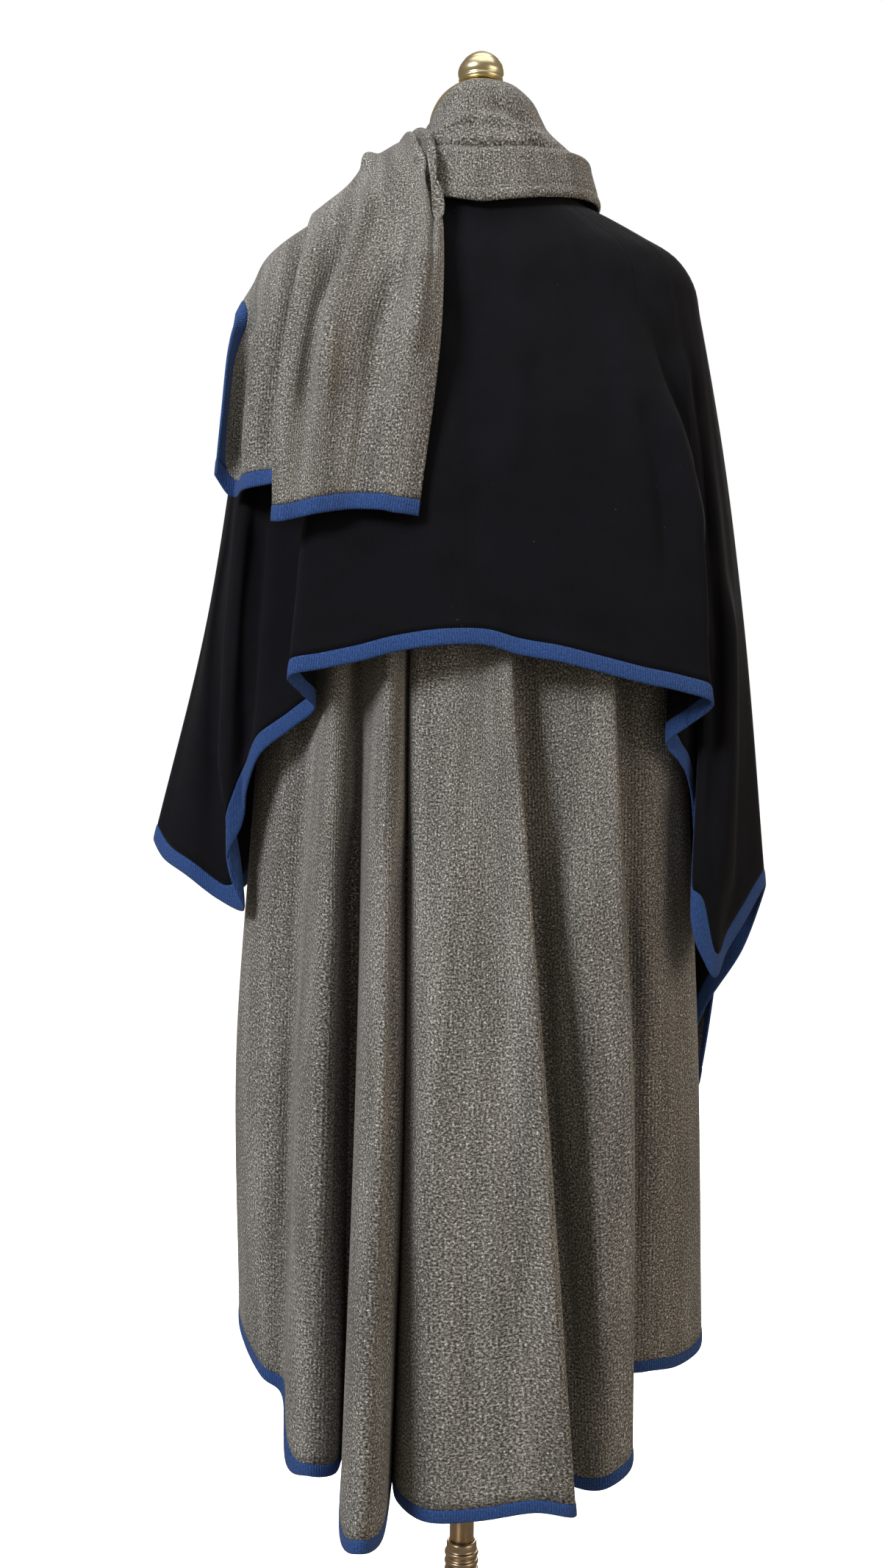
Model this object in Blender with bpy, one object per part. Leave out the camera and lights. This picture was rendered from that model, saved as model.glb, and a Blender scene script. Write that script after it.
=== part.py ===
"""Convertible wrap cape on a limbless dress form.

A long grey knit cape, a short black over-cape and a wide grey wrap end thrown over the left
shoulder, every edge bound in blue braid, hang on a dress form with a telescopic brass stand.

Frame: metres, +Z up, origin on the floor under the stand's axis.  +X is the wearer's right
and +Y the way the wearer faces, so the back of the cape looks along -Y.
Tables are in millimetres.  Bearings are in degrees round the body: 0 right, 90 front,
180 left, 270 back.
"""
import math

import bmesh
import bpy
import numpy as np

# ---------------------------------------------------------------- driving dimensions (mm)
CLOTH = 2.0              # thickness of the knit
BRAID = 3.0              # thickness of the folded edge braid
LONG_BRAID = 11.5        # height of the braid on the face of the long cape
OVER_BRAID = 15.0        # height of the braid on the face of the over-cape
WRAP_BRAID = 15.0        # height of the braid on the face of the wrap
SEAM = 0.3               # space left between two sewn pieces
PANEL_ROOM = 0.36        # from a panel seam to each panel, measured across the columns
EDGE_ROOM = 0.45         # from an edge braid to its cloth, measured across the columns
HEM_ROOM = 0.9           # from a hem braid up to its cloth, measured down a column
GREY_OUT = 3.5           # middle of the long cape's cloth outside the form
BLACK_OUT = 7.5          # middle of the over-cape's cloth outside the form
BAND_FOLD = 5.0          # thickness of the doubled collar band

HIGH, MID = 1070.0, 700.0        # heights of the long cape's two free sections
UPPER, LOWER = 1300.0, 1130.0    # heights of the over-cape's two free sections
NECKLINE = 1556.0                # where both capes start on the neck
SHOULDER_LEVELS = (NECKLINE, 1538.0, 1518.0, 1500.0, 1482.0, 1462.0, 1432.0)
BUST, HIP = 1290.0, 900.0        # heights where the long cape can touch the form

FORM_BOTTOM, NECK_TOP = 880.0, 1618.0
FINIAL_TOP = 1701.0
POLE_RADIUS = 12.2
BORE_RADIUS = 12.7
TUBE_RADIUS = 15.0
RING_RADIUS = 17.0
POLE_FOOT = 96.0         # lower end of the pole inside the tube
TUBE_TOP = 150.0
COLLAR_TOP = 206.0
RING_HEIGHTS = (160.0, 168.5, 177.0, 185.5, 194.0)
BASE_RADIUS = 170.0
BASE_RIM = 14.0          # height of the base's straight edge
SOCKET_FLOOR = 40.0      # the tube stands here, inside the base's boss
BOSS_TOP = 62.0
BOSS_RADIUS = 26.0

# ---------------------------------------------------------------- the dress form's sections
# height, half width, depth to the back, depth to the front
FORM_SECTIONS = (
    (880.0, 152.0, 86.0, 86.0),
    (896.0, 163.0, 95.0, 95.0),
    (950.0, 168.0, 102.0, 102.0),
    (1020.0, 150.0, 94.0, 98.0),
    (1085.0, 130.0, 84.0, 92.0),
    (1180.0, 148.0, 94.0, 114.0),
    (1280.0, 178.0, 103.0, 127.0),
    (1350.0, 199.0, 106.0, 115.0),
    (1400.0, 210.0, 104.0, 108.0),
    (1432.0, 214.0, 101.0, 103.0),
    (1450.0, 211.5, 96.0, 98.0),
    (1462.0, 208.0, 92.5, 94.0),
    (1472.0, 203.0, 88.5, 90.5),
    (1482.0, 195.0, 85.0, 87.0),
    (1500.0, 166.0, 77.0, 79.0),
    (1518.0, 133.0, 69.5, 71.0),
    (1538.0, 92.0, 60.0, 62.0),
    (1550.0, 70.0, 55.0, 57.0),
    (1566.0, 57.0, 52.0, 54.0),
    (1618.0, 52.0, 50.0, 52.0),
)
FORM_SQUARENESS = 2.2    # 2 is an ellipse, higher is squarer

# radius and rise of the neck cap's outline
NECK_CAP = ((52.0, 1.5), (51.8, 9.0), (50.2, 17.0), (47.0, 25.0), (42.5, 32.5), (36.5, 39.0),
            (29.0, 44.5), (21.5, 48.2), (17.0, 50.0))

# radius and rise of the finial's outline: a slim foot, a wide lip and a squat domed band
FINIAL = ((16.0, 0.0), (19.5, 1.2), (20.0, 3.6), (20.6, 5.6), (22.8, 6.8), (23.8, 8.4),
          (23.8, 10.0), (22.2, 12.4), (22.9, 14.0), (22.8, 17.0), (21.6, 20.6), (19.4, 23.2),
          (17.0, 25.0), (12.4, 27.4), (7.0, 30.0), (3.0, 31.8))

# ---------------------------------------------------------------- the long grey cape
# column, bearing on the shoulder, x and y at HIGH, x and y at MID, then x, y, z at the hem.
# The columns run from the left front edge round the back to the right front edge.
LONG_CAPE = (
    ("left front edge",   90,   12,  136,   10,  150,    8,  158, 512),
    ("left front fold 1", 97,  -12,  146,  -16,  184,  -20,  204, 508),
    ("left front dip 1", 105,  -44,  138,  -46,  146,  -50,  150, 502),
    ("left front fold 2", 114, -80,  144,  -84,  180,  -88,  200, 496),
    ("left front dip 2", 124, -114,  126, -118,  130, -120,  130, 488),
    ("left front fold 3", 135, -148, 120, -158,  148, -166,  162, 480),
    ("left front dip 3", 147, -174,   86, -182,   84, -184,   84, 470),
    ("left side fold",   159, -196,   66, -216,   78, -220,   82, 460),
    ("left side dip",    170, -204,   34, -222,   34, -218,   36, 448),
    ("left side",        181, -211,    2, -231,   -2, -226,    2, 426),
    ("left panel",       193, -206,  -34, -224,  -42, -215,  -36, 409),
    ("left panel back",  204, -184,  -58, -200,  -76, -195,  -72, 392),
    ("dip before a",     214, -160,  -74, -170,  -80, -174,  -82, 376),
    ("fold a left",      221, -142, -100, -159, -108, -168, -102, 321),
    ("fold a crest",     227, -133, -120, -140, -132, -145, -128, 321),
    ("fold a right",     233, -121, -116, -122, -116, -122, -112, 317),
    ("dip a b",          238, -108,  -98, -110,  -74, -116,  -72, 322),
    ("fold b left",      243,  -93, -118, -101, -168, -110, -212, 303),
    ("fold b crest",     248,  -82, -140,  -83, -206,  -92, -254, 308),
    ("fold b right",     253,  -70, -130,  -64, -176,  -74, -214, 303),
    ("dip b c",          257,  -62, -106,  -60, -104,  -68, -112, 318),
    ("fold c left",      261,  -56, -126,  -58, -158,  -62, -166, 316),
    ("fold c shoulder",  265,  -18, -136,  -38, -190,  -36, -204, 314),
    ("fold c middle",    269,    2, -140,    4, -192,   10, -206, 316),
    ("fold c rise",      273,   18, -146,   38, -202,   60, -206, 324),
    ("fold c edge",      278,   33, -148,   65, -204,   97, -196, 317),
    ("fold c return",    281,   26, -124,   46, -156,   78, -148, 322),
    ("dip c d",          285,   42, -110,   52, -122,   80, -110, 324),
    ("fold d left",      290,   68, -118,   82, -132,  102, -130, 315),
    ("fold d middle",    296,   98, -130,  116, -146,  130, -144, 320),
    ("fold d edge",      302,  127, -132,  149, -144,  155, -126, 337),
    ("fold d return",    307,  122, -104,  132, -104,  140,  -86, 364),
    ("dip d e",          313,  140,  -84,  142,  -76,  148,  -58, 390),
    ("fold e left",      322,  168,  -84,  174,  -74,  176,  -54, 396),
    ("fold e",           333,  192,  -66,  204,  -54,  208,  -38, 396),
    ("right side",       347,  206,  -34,  226,  -18,  234,   -8, 402),
    ("right side front", 359,  211,   -2,  230,   14,  238,   18, 412),
    ("right dip",        370,  205,   30,  218,   36,  222,   40, 420),
    ("right front fold", 381,  198,   62,  216,   78,  222,   88, 424),
    ("right front dip",  393,  174,   84,  180,   84,  184,   86, 438),
    ("right front fold 2", 405, 146, 118,  154,  146,  160,  160, 452),
    ("right front dip 2", 416, 110,  124,  114,  128,  116,  130, 468),
    ("right front fold 3", 427, 76,  138,   80,  172,   82,  190, 482),
    ("right front dip 3", 436,  46,  134,   48,  142,   48,  146, 494),
    ("right front edge", 444,   22,  138,   22,  158,   24,  166, 504),
)

# ---------------------------------------------------------------- the short black over-cape
# column, bearing on the shoulder, x and y at UPPER, x and y at LOWER, then x, y, z at the hem
OVER_CAPE = (
    ("left front edge",   94,   -8,  152,   -8,  162,   -8,  168, 1030),
    ("left front fold",  103,  -36,  156,  -38,  174,  -40,  182, 1024),
    ("left front dip",   113,  -72,  148,  -78,  160,  -82,  164, 1008),
    ("left chest fold",  123, -108,  144, -118,  166, -124,  176, 982),
    ("left chest dip",   134, -144,  124, -158,  138, -166,  142, 944),
    ("left arm front",   146, -178,  110, -200,  132, -214,  140, 892),
    ("left front tip",   157, -206,   82, -232,   96, -246,  102, 848),
    ("left arm outer front", 168, -228, 46, -254,  54, -284,   56, 862),
    ("left arm outer",   180, -241,    6, -267,    8, -317,    4, 905),
    ("left arm turn",    188, -237,  -24, -262,  -20, -306,  -20, 888),
    ("left arm fold",    195, -231,  -48, -258,  -42, -279,  -42, 872),
    ("left arm dip",     201, -225,  -56, -252,  -48, -249,  -50, 851),
    ("left tip",         206, -219,  -66, -246,  -64, -220,  -66, 840),
    ("left edge low",    210, -214,  -74, -242,  -72, -230,  -77, 868),
    ("left edge bulge",  214, -208,  -78, -234,  -74, -234,  -80, 893),
    ("left edge waist",  218, -200,  -80, -222,  -74, -221,  -79, 924),
    ("left edge wave",   222, -192,  -86, -210,  -82, -217,  -85, 955),
    ("left edge high",   226, -184,  -92, -196,  -88, -204,  -91, 990),
    ("left edge top",    230, -171, -100, -172,  -94, -175,  -98, 1014),
    ("left tuck",        233, -155, -109, -154, -106, -151, -108, 1033),
    ("left pleat",       236, -148, -124, -157, -129, -161, -131, 1046),
    ("left back corner", 239, -144, -138, -164, -151, -171, -156, 1061),
    ("back 1",           244, -119, -143, -134, -158, -140, -162, 1068),
    ("back 2",           250,  -92, -144, -103, -162, -106, -167, 1075),
    ("back 3",           257,  -64, -146,  -70, -164,  -73, -168, 1084),
    ("back 4",           264,  -34, -146,  -36, -168,  -33, -174, 1090),
    ("back 5",           270,   -2, -146,    0, -164,    7, -168, 1091),
    ("back 6",           277,   32, -146,   36, -162,   37, -166, 1083),
    ("back 7",           284,   66, -144,   72, -164,   73, -170, 1077),
    ("back 8",           291,  102, -140,  110, -160,  112, -166, 1068),
    ("back 9",           298,  136, -134,  146, -156,  151, -160, 1059),
    ("back 10",          304,  164, -126,  180, -148,  189, -151, 1052),
    ("right back corner", 308, 186, -114,  208, -132,  219, -139, 1042),
    ("right pleat",      311,  190, -100,  199, -112,  200, -117, 1022),
    ("right tuck",       314,  185,  -89,  188,  -97,  183, -101, 1004),
    ("right edge top",   317,  190,  -81,  196,  -88,  194,  -93, 990),
    ("right edge high",  320,  195,  -75,  203,  -84,  205,  -82, 974),
    ("right edge roll",  323,  199,  -71,  209,  -80,  214,  -60, 945),
    ("right edge hidden", 326, 203,  -69,  214,  -80,  217,  -52, 898),
    ("right edge fold",  329,  207,  -70,  216,  -86,  210,  -84, 850),
    ("right edge low",   332,  212,  -70,  222,  -88,  211,  -91, 824),
    ("right edge foot",  336,  219,  -68,  231,  -87,  221,  -88, 801),
    ("right tip",        340,  225,  -62,  240,  -82,  234,  -80, 783),
    ("right arm dip",    344,  231,  -48,  249,  -58,  248,  -56, 805),
    ("right arm fold",   350,  239,  -32,  259,  -36,  270,  -34, 834),
    ("right arm outer",  358,  246,   -4,  270,   -2,  296,    0, 866),
    ("right arm outer front", 369, 238, 30, 262,  30,  281,   34, 800),
    ("right arm front",  379,  226,   56,  250,   58,  250,   50, 745),
    ("right front tip",  389,  208,   80,  232,   88,  224,   68, 690),
    ("right chest 1",    399,  182,  104,  204,  120,  196,  120, 730),
    ("right chest 2",    409,  150,  124,  168,  142,  158,  148, 820),
    ("right chest 3",    419,  116,  142,  128,  164,  118,  170, 905),
    ("right front dip",  430,   80,  148,   86,  162,   80,  166, 965),
    ("right front fold", 441,   46,  156,   46,  174,   44,  182, 1000),
    ("right front edge", 450,   16,  154,   14,  166,   12,  172, 1018),
)

# ---------------------------------------------------------------- the wrap across the chest
# height, half width and depth to the front of the wrap's sections
WRAP_SECTIONS = (
    (640.0, 266.0, 206.0),
    (850.0, 283.0, 206.0),
    (1000.0, 278.0, 202.0),
    (1130.0, 270.0, 194.0),
    (1300.0, 257.0, 174.0),
    (1400.0, 246.0, 146.0),
    (1430.0, 240.0, 138.0),
    (1461.0, 227.0, 129.0),
    (1487.0, 210.0, 121.0),
    (1505.0, 188.0, 116.0),
    (1529.0, 157.0, 107.0),
    (1559.0, 127.0, 97.0),
    (1575.0, 116.0, 91.0),
    (1590.0, 107.0, 84.0),
    (1601.0, 90.0, 78.0),
    (1613.0, 73.0, 71.0),
)
# fold across the chest, its place from the neck edge (0) to the lower edge (1), half width in
# the same measure, and height in mm where the wrap gathers on the shoulder
WRAP_FOLDS = (
    ("neck roll", 0.10, 0.05, 9.0),
    ("high fold", 0.27, 0.06, 12.0),
    ("chest fold", 0.47, 0.07, 14.0),
    ("low fold", 0.68, 0.07, 12.0),
    ("edge fold", 0.88, 0.05, 7.0),
)
# station, bearing and height at the neck edge, bearing and height at the lower edge, and how
# far its lower corner rolls in
WRAP_STATIONS = (
    ("right edge",      27, 1526,  18,  655, 14.0),
    ("right roll",      33, 1530,  27,  682, 0.0),
    ("right side",      43, 1536,  42,  745, 0.0),
    ("right chest",     58, 1549,  60,  850, 0.0),
    ("middle right",    74, 1560,  78,  950, 0.0),
    ("middle left",     92, 1571,  96, 1050, 0.0),
    ("left chest",     112, 1583, 114, 1152, 0.0),
    ("left arm",       134, 1595, 134, 1256, 0.0),
    ("left shoulder",  157, 1605, 156, 1352, 0.0),
    ("crest",          180, 1611, 180, 1430, 0.0),
)

# the wrap's end on the back of the shoulder, under the tail: column, x and height on the
# crest, then x, y, z behind the shoulder, on the shoulder blade, lower down and at the hem
WRAP_UNDER = (
    ("inner",       -128, 1542, -132, -46, 1527, -140, -92, 1464, -149, -132, 1360, -151, -154, 1240),
    ("under tail",  -156, 1524, -161, -49, 1511, -169, -91, 1449, -177, -129, 1352, -181, -147, 1240),
    ("ridge",       -190, 1504, -193, -51, 1486, -198, -92, 1429, -204, -119, 1340, -208, -130, 1238),
    ("ridge side",  -211, 1487, -212, -48, 1463, -213, -83, 1408, -217, -106, 1330, -221, -115, 1237),
    ("valley",      -225, 1463, -222, -40, 1446, -222, -64, 1398, -224, -82, 1325, -229, -90, 1235),
    ("roll",        -234, 1446, -232, -38, 1434, -231, -64, 1390, -233, -84, 1321, -238, -90, 1238),
    ("edge",        -240, 1430, -239, -42, 1421, -240, -72, 1386, -243, -93, 1318, -249, -98, 1254),
)
# the gathered tail on top, in the same columns
WRAP_TAIL = (
    ("right edge",    -69, 1612, -46, -67, 1585, -38, -98, 1515, -36, -142, 1398,  -55, -168, 1207),
    ("right strip",   -72, 1615, -51, -77, 1587, -42, -108, 1511, -44, -150, 1396,  -68, -173, 1208),
    ("first crease",  -75, 1609, -56, -68, 1580, -46, -104, 1508, -52, -154, 1394,  -78, -174, 1209),
    ("narrow strip",  -79, 1612, -63, -77, 1581, -50, -111, 1505, -61, -156, 1392,  -88, -174, 1211),
    ("second crease", -83, 1605, -69, -68, 1575, -57, -112, 1500, -75, -150, 1391, -102, -171, 1212),
    ("main roll",     -89, 1600, -79, -75, 1567, -74, -108, 1493, -93, -143, 1390, -118, -169, 1212),
    ("high bump",     -99, 1594, -94, -72, 1555, -97, -108, 1482, -116, -150, 1388, -135, -173, 1209),
    ("ridge",        -111, 1587, -111, -67, 1545, -117, -112, 1470, -134, -157, 1386, -150, -175, 1206),
    ("valley",       -128, 1563, -131, -63, 1528, -135, -103, 1456, -151, -146, 1376, -165, -171, 1203),
    ("left ridge",   -147, 1544, -152, -67, 1515, -155, -111, 1447, -167, -152, 1358, -179, -171, 1200),
    ("left edge",    -161, 1533, -166, -67, 1503, -170, -109, 1440, -178, -146, 1346, -188, -164, 1201),
)
CREST_GAP = 0.8          # between the wrap's front and its back pieces, along Y

# bearing and height of the standing collar's top edge; it sits highest at the back
COLLAR_TOP_EDGE = (
    (-90.0, 1658.0),
    (-60.0, 1658.0),
    (-30.0, 1657.5),
    (0.0, 1656.0),
    (40.0, 1649.0),
    (90.0, 1636.0),
    (130.0, 1625.0),
    (165.0, 1620.0),
    (195.0, 1619.0),
    (206.0, 1621.0),
    (220.0, 1635.0),
    (237.0, 1650.0),
    (250.0, 1657.0),
    (270.0, 1658.0),
)
# height, half width on the right, half width on the left, half depth of the standing collar
STAND_PROFILE = (
    (1560.0, 101.7, 78.0, 72.2),
    (1587.0, 101.7, 76.0, 71.5),
    (1596.0, 90.0, 65.0, 66.0),
    (1605.0, 79.0, 58.5, 62.0),
    (1615.0, 69.0, 56.0, 59.0),
    (1629.0, 61.0, 54.5, 56.5),
    (1644.0, 53.0, 50.0, 52.0),
    (1657.0, 40.0, 40.0, 40.0),
    (1669.0, 24.0, 24.0, 24.0),
)
# height at the back, rise at the sides, half width right and left, half depth
BAND_TOP_EDGE = (1574.0, 13.0, 105.5, 79.8, 76.0)
BAND_BOTTOM_EDGE = (1521.0, 21.0, 120.0, 112.0, 87.0)
STAND_FOOT = 1560.0      # lower edge of the standing collar, inside the band

# ---------------------------------------------------------------- colours (linear) and finish
FINISHES = {
    "grey_knit": ((0.155, 0.145, 0.128, 1.0), 0.92, 0.0),
    "black_jersey": ((0.008, 0.008, 0.010, 1.0), 0.85, 0.0),
    "blue_braid": ((0.032, 0.085, 0.270, 1.0), 0.80, 0.0),
    "form_cover": ((0.520, 0.470, 0.390, 1.0), 0.75, 0.0),
    "polished_brass": ((0.600, 0.450, 0.190, 1.0), 0.25, 1.0),
    "aged_brass": ((0.300, 0.215, 0.110, 1.0), 0.38, 1.0),
}


def finish(name):
    """The Principled material of one finish, made once."""
    known = bpy.data.materials.get(name)
    if known:
        return known
    colour, roughness, metallic = FINISHES[name]
    made = bpy.data.materials.new(name)
    made.use_nodes = True
    shader = made.node_tree.nodes["Principled BSDF"]
    shader.inputs["Base Color"].default_value = colour
    shader.inputs["Roughness"].default_value = roughness
    shader.inputs["Metallic"].default_value = metallic
    made.diffuse_color = colour
    return made


def solid(name, points, faces, finish_name):
    """One closed, smooth-shaded piece from points in millimetres."""
    mesh = bpy.data.meshes.new(name)
    mesh.from_pydata([tuple(0.001 * value for value in point) for point in points], [], faces)
    mesh.validate()
    work = bmesh.new()
    work.from_mesh(mesh)
    bmesh.ops.recalc_face_normals(work, faces=work.faces)
    work.to_mesh(mesh)
    work.free()
    mesh.shade_smooth()
    mesh.set_sharp_from_angle(angle=math.radians(50.0))
    piece = bpy.data.objects.new(name, mesh)
    piece.data.materials.append(finish(finish_name))
    bpy.context.collection.objects.link(piece)
    return piece


# ---------------------------------------------------------------- curves and surfaces
def through(knots, keys, at):
    """Smooth curve through keys placed at uneven knots, read at the places in at."""
    knots = np.asarray(knots, float)
    keys = np.asarray(keys, float)
    at = np.asarray(at, float)
    gap = np.diff(knots)
    step = np.diff(keys, axis=0) / gap.reshape((-1,) + (1,) * (keys.ndim - 1))
    slope = np.empty_like(keys)
    slope[0] = step[0]
    slope[-1] = step[-1]
    before = gap[:-1].reshape((-1,) + (1,) * (keys.ndim - 1))
    after = gap[1:].reshape((-1,) + (1,) * (keys.ndim - 1))
    slope[1:-1] = (step[:-1] * after + step[1:] * before) / (before + after)
    low = np.clip(np.searchsorted(knots, at, side="right") - 1, 0, len(knots) - 2)
    shape = (-1,) + (1,) * (keys.ndim - 1)
    width = gap[low].reshape(shape)
    part = ((at - knots[low]) / gap[low]).reshape(shape)
    square, cube = part ** 2, part ** 3
    return (
        keys[low] * (2 * cube - 3 * square + 1)
        + slope[low] * width * (cube - 2 * square + part)
        + keys[low + 1] * (3 * square - 2 * cube)
        + slope[low + 1] * width * (cube - square)
    )


def line_down(keys, per_span=12):
    """Dense curve through the keys of one column, from the top to the hem."""
    keys = np.asarray(keys, float)
    knots = np.concatenate([[0.0], np.cumsum(np.linalg.norm(np.diff(keys, axis=0), axis=1))])
    at = np.concatenate(
        [np.linspace(a, b, per_span, endpoint=False) for a, b in zip(knots[:-1], knots[1:])]
        + [[knots[-1]]]
    )
    return through(knots, keys, at)


def lengths(line):
    """Distance along a line at each of its points."""
    return np.concatenate([[0.0], np.cumsum(np.linalg.norm(np.diff(line, axis=0), axis=1))])


def at_length(line, where):
    """Points of a line at the given distances from its start."""
    run = lengths(line)
    return np.stack([np.interp(where, run, line[:, axis]) for axis in range(3)], axis=1)


class Sheet:
    """A surface through columns of key points, with braided hem and side edges.

    Columns are counted from 0, and places between them are parts of a column.
    """

    def __init__(self, columns, braid, fine=10):
        self.braid = braid
        self.last = len(columns) - 1
        self.fine = np.linspace(0.0, self.last, self.last * fine + 1)
        self.lines = [line_down(keys) for keys in
                      through(np.arange(self.last + 1), columns, self.fine)]
        self.tops = [lengths(line) for line in self.lines]
        self.keys = len(columns[0])
        self.cut = self.hem_cuts(3 * fine)

    def hem_cuts(self, reach):
        """How far up each line the braid, square to the hem, reaches."""
        hem = np.asarray([line[-1] for line in self.lines])
        cuts = []
        for place, line in enumerate(self.lines):
            near = hem[max(0, place - reach):place + reach + 1]
            gap = np.linalg.norm(line[:, None] - near[None], axis=2).min(axis=1)
            inside = np.nonzero(gap >= self.braid)[0][-1]
            part = (gap[inside] - self.braid) / max(gap[inside] - gap[inside + 1], 1e-9)
            run = self.tops[place]
            cuts.append(run[-1] - (run[inside] + part * (run[inside + 1] - run[inside])))
        soft = np.convolve(np.pad(cuts, 4, mode="edge"), np.full(9, 1.0 / 9.0), mode="valid")
        return np.maximum(soft, self.braid)

    def rows(self, top_rows, low_rows):
        """Fine grid: the first top_rows keys, parts of the rest, then two rows of braid."""
        grid = []
        for line, run, cut in zip(self.lines, self.tops, self.cut):
            per_key = (len(line) - 1) // (self.keys - 1)
            top = [run[key * per_key] for key in range(top_rows)]
            end = run[-1] - cut - HEM_ROOM * cut / self.braid
            where = top + [top[-1] + (end - top[-1]) * share for share in low_rows]
            where += [run[-1] - cut, run[-1]]
            grid.append(at_length(line, where))
        return np.stack(grid, axis=1)

    def pick(self, grid, places):
        """The grid's columns at places, one row of places for each row of the grid."""
        picked = np.empty((grid.shape[0], places.shape[1], 3))
        for row in range(grid.shape[0]):
            for axis in range(3):
                picked[row, :, axis] = np.interp(places[row], self.fine, grid[row, :, axis])
        return picked

    def inset(self, row_points, place, distance):
        """The place that lies a distance further along one row than another place."""
        run = lengths(row_points)
        return np.interp(np.interp(place, self.fine, run) + distance, run, self.fine)


def sewn(sheet, grid, columns, seams=(), first_braid=False, last_braid=False):
    """Places of the columns in each row, with room for side braids and seams."""
    places = []
    for row in grid:
        marks = [float(column) for column in columns if column not in seams]
        for seam in seams:
            marks += [sheet.inset(row, seam, side) for side in (-PANEL_ROOM, PANEL_ROOM)]
        marks.sort()
        if first_braid:
            lead = sheet.inset(row, 0.0, sheet.braid + EDGE_ROOM)
            step = 0.12
            for column in range(1, len(marks)):
                marks[column] = max(marks[column], lead + step * column)
            marks[:1] = [0.0, sheet.inset(row, 0.0, sheet.braid), lead]
        if last_braid:
            lead = sheet.inset(row, sheet.last, -sheet.braid - EDGE_ROOM)
            for column in range(1, len(marks)):
                marks[-1 - column] = min(marks[-1 - column], lead - 0.12 * column)
            marks[-1:] = [lead, sheet.inset(row, sheet.last, -sheet.braid), sheet.last]
        places.append(marks)
    return np.asarray(places)


def outward(grid, closed=False):
    """Unit normals of a grid of points."""
    if closed:
        across = np.roll(grid, -1, axis=1) - np.roll(grid, 1, axis=1)
    else:
        across = np.gradient(grid, axis=1)
    down = np.gradient(grid, axis=0)
    normal = np.cross(down, across)
    return normal / np.maximum(np.linalg.norm(normal, axis=2, keepdims=True), 1e-9)


def shared(normals, hem, starts):
    """Normals made equal on both sides of the hem seam and of the seams at starts."""
    rows = [(hem - 1, hem)]
    for first, second in rows:
        normals[first] = normals[second] = normals[first] + normals[second]
    for start in starts:
        both = normals[:, start - 1] + normals[:, start]
        normals[:, start - 1] = normals[:, start] = both
    return normals / np.linalg.norm(normals, axis=2, keepdims=True)


def cloth(name, grid, thickness, finish_name, closed=False, normals=None):
    """A wall of cloth of one thickness with a grid of points as its middle surface."""
    rows, columns = grid.shape[:2]
    normals = outward(grid, closed) if normals is None else normals
    shift = normals * (0.5 * thickness)
    points = np.concatenate([(grid + shift).reshape(-1, 3), (grid - shift).reshape(-1, 3)])
    inside = rows * columns
    faces = []

    def quad(a, b, c, d):
        faces.append((a, b, c))
        faces.append((a, c, d))

    cells = columns if closed else columns - 1
    for row in range(rows - 1):
        for column in range(cells):
            a = row * columns + column
            b = row * columns + (column + 1) % columns
            c, d = b + columns, a + columns
            quad(a, b, c, d)
            faces.append((inside + c, inside + b, inside + a))
            faces.append((inside + d, inside + c, inside + a))
    for row, turn in ((0, 1), (rows - 1, -1)):
        for column in range(cells):
            a = row * columns + column
            b = row * columns + (column + 1) % columns
            quad(*(a, a + inside, b + inside, b)[::turn])
    if not closed:
        for column, turn in ((0, -1), (columns - 1, 1)):
            for row in range(rows - 1):
                a = row * columns + column
                b = a + columns
                quad(*(a, a + inside, b + inside, b)[::turn])
    return solid(name, points, faces, finish_name)


def turned(name, profile, finish_name, sides=32, bored=False):
    """A turned piece: (radius, height) from the axis round and back, or a closed ring."""
    points, rings = [], []
    for radius, height in profile:
        if radius == 0.0:
            rings.append([len(points)])
            points.append((0.0, 0.0, height))
            continue
        rings.append(list(range(len(points), len(points) + sides)))
        for side in range(sides):
            turn = 2.0 * math.pi * side / sides
            points.append((radius * math.cos(turn), radius * math.sin(turn), height))
    faces = []
    pairs = list(zip(rings, rings[1:] + rings[:1])) if bored else list(zip(rings, rings[1:]))
    for low, high in pairs:
        for side in range(sides):
            after = (side + 1) % sides
            if len(low) == 1:
                faces.append((low[0], high[after], high[side]))
            elif len(high) == 1:
                faces.append((low[side], low[after], high[0]))
            else:
                faces.append((low[side], low[after], high[after], high[side]))
    return solid(name, points, faces, finish_name)


# ---------------------------------------------------------------- the dress form's surface
def rounded(turn, half_width, back, front, squareness):
    """Point on a rounded section at an angle in radians."""
    power = 2.0 / squareness
    side, fore = math.cos(turn), math.sin(turn)
    depth = front if fore > 0.0 else back
    return (
        half_width * math.copysign(abs(side) ** power, side),
        depth * math.copysign(abs(fore) ** power, fore),
    )


def form_section(height):
    """Half width, depth to the back and depth to the front of the form at a height."""
    table = np.asarray(FORM_SECTIONS)
    return through(table[:, 0], table[:, 1:], [height])[0]


def on_form(bearing, height):
    """Point on the form's surface."""
    half_width, back, front = form_section(height)
    x, y = rounded(math.radians(bearing), half_width, back, front, FORM_SQUARENESS)
    return np.array((x, y, height))


def off_form(bearing, height, out):
    """Point out mm outside the form, square to its surface."""
    round_it = on_form(bearing + 1.0, height) - on_form(bearing - 1.0, height)
    up_it = on_form(bearing, height + 2.0) - on_form(bearing, height - 2.0)
    normal = np.cross(round_it, up_it)
    return on_form(bearing, height) + normal / np.linalg.norm(normal) * out


def clear_of_form(x, y, height, out):
    """The point, pushed straight out where it would be nearer the form than out mm."""
    half_width, back, front = form_section(height) + out
    depth = front if y > 0.0 else back
    share = (abs(x) / half_width) ** FORM_SQUARENESS + (abs(y) / depth) ** FORM_SQUARENESS
    grow = max(1.0, share ** (-1.0 / FORM_SQUARENESS))
    return np.array((x * grow, y * grow, height))


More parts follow.
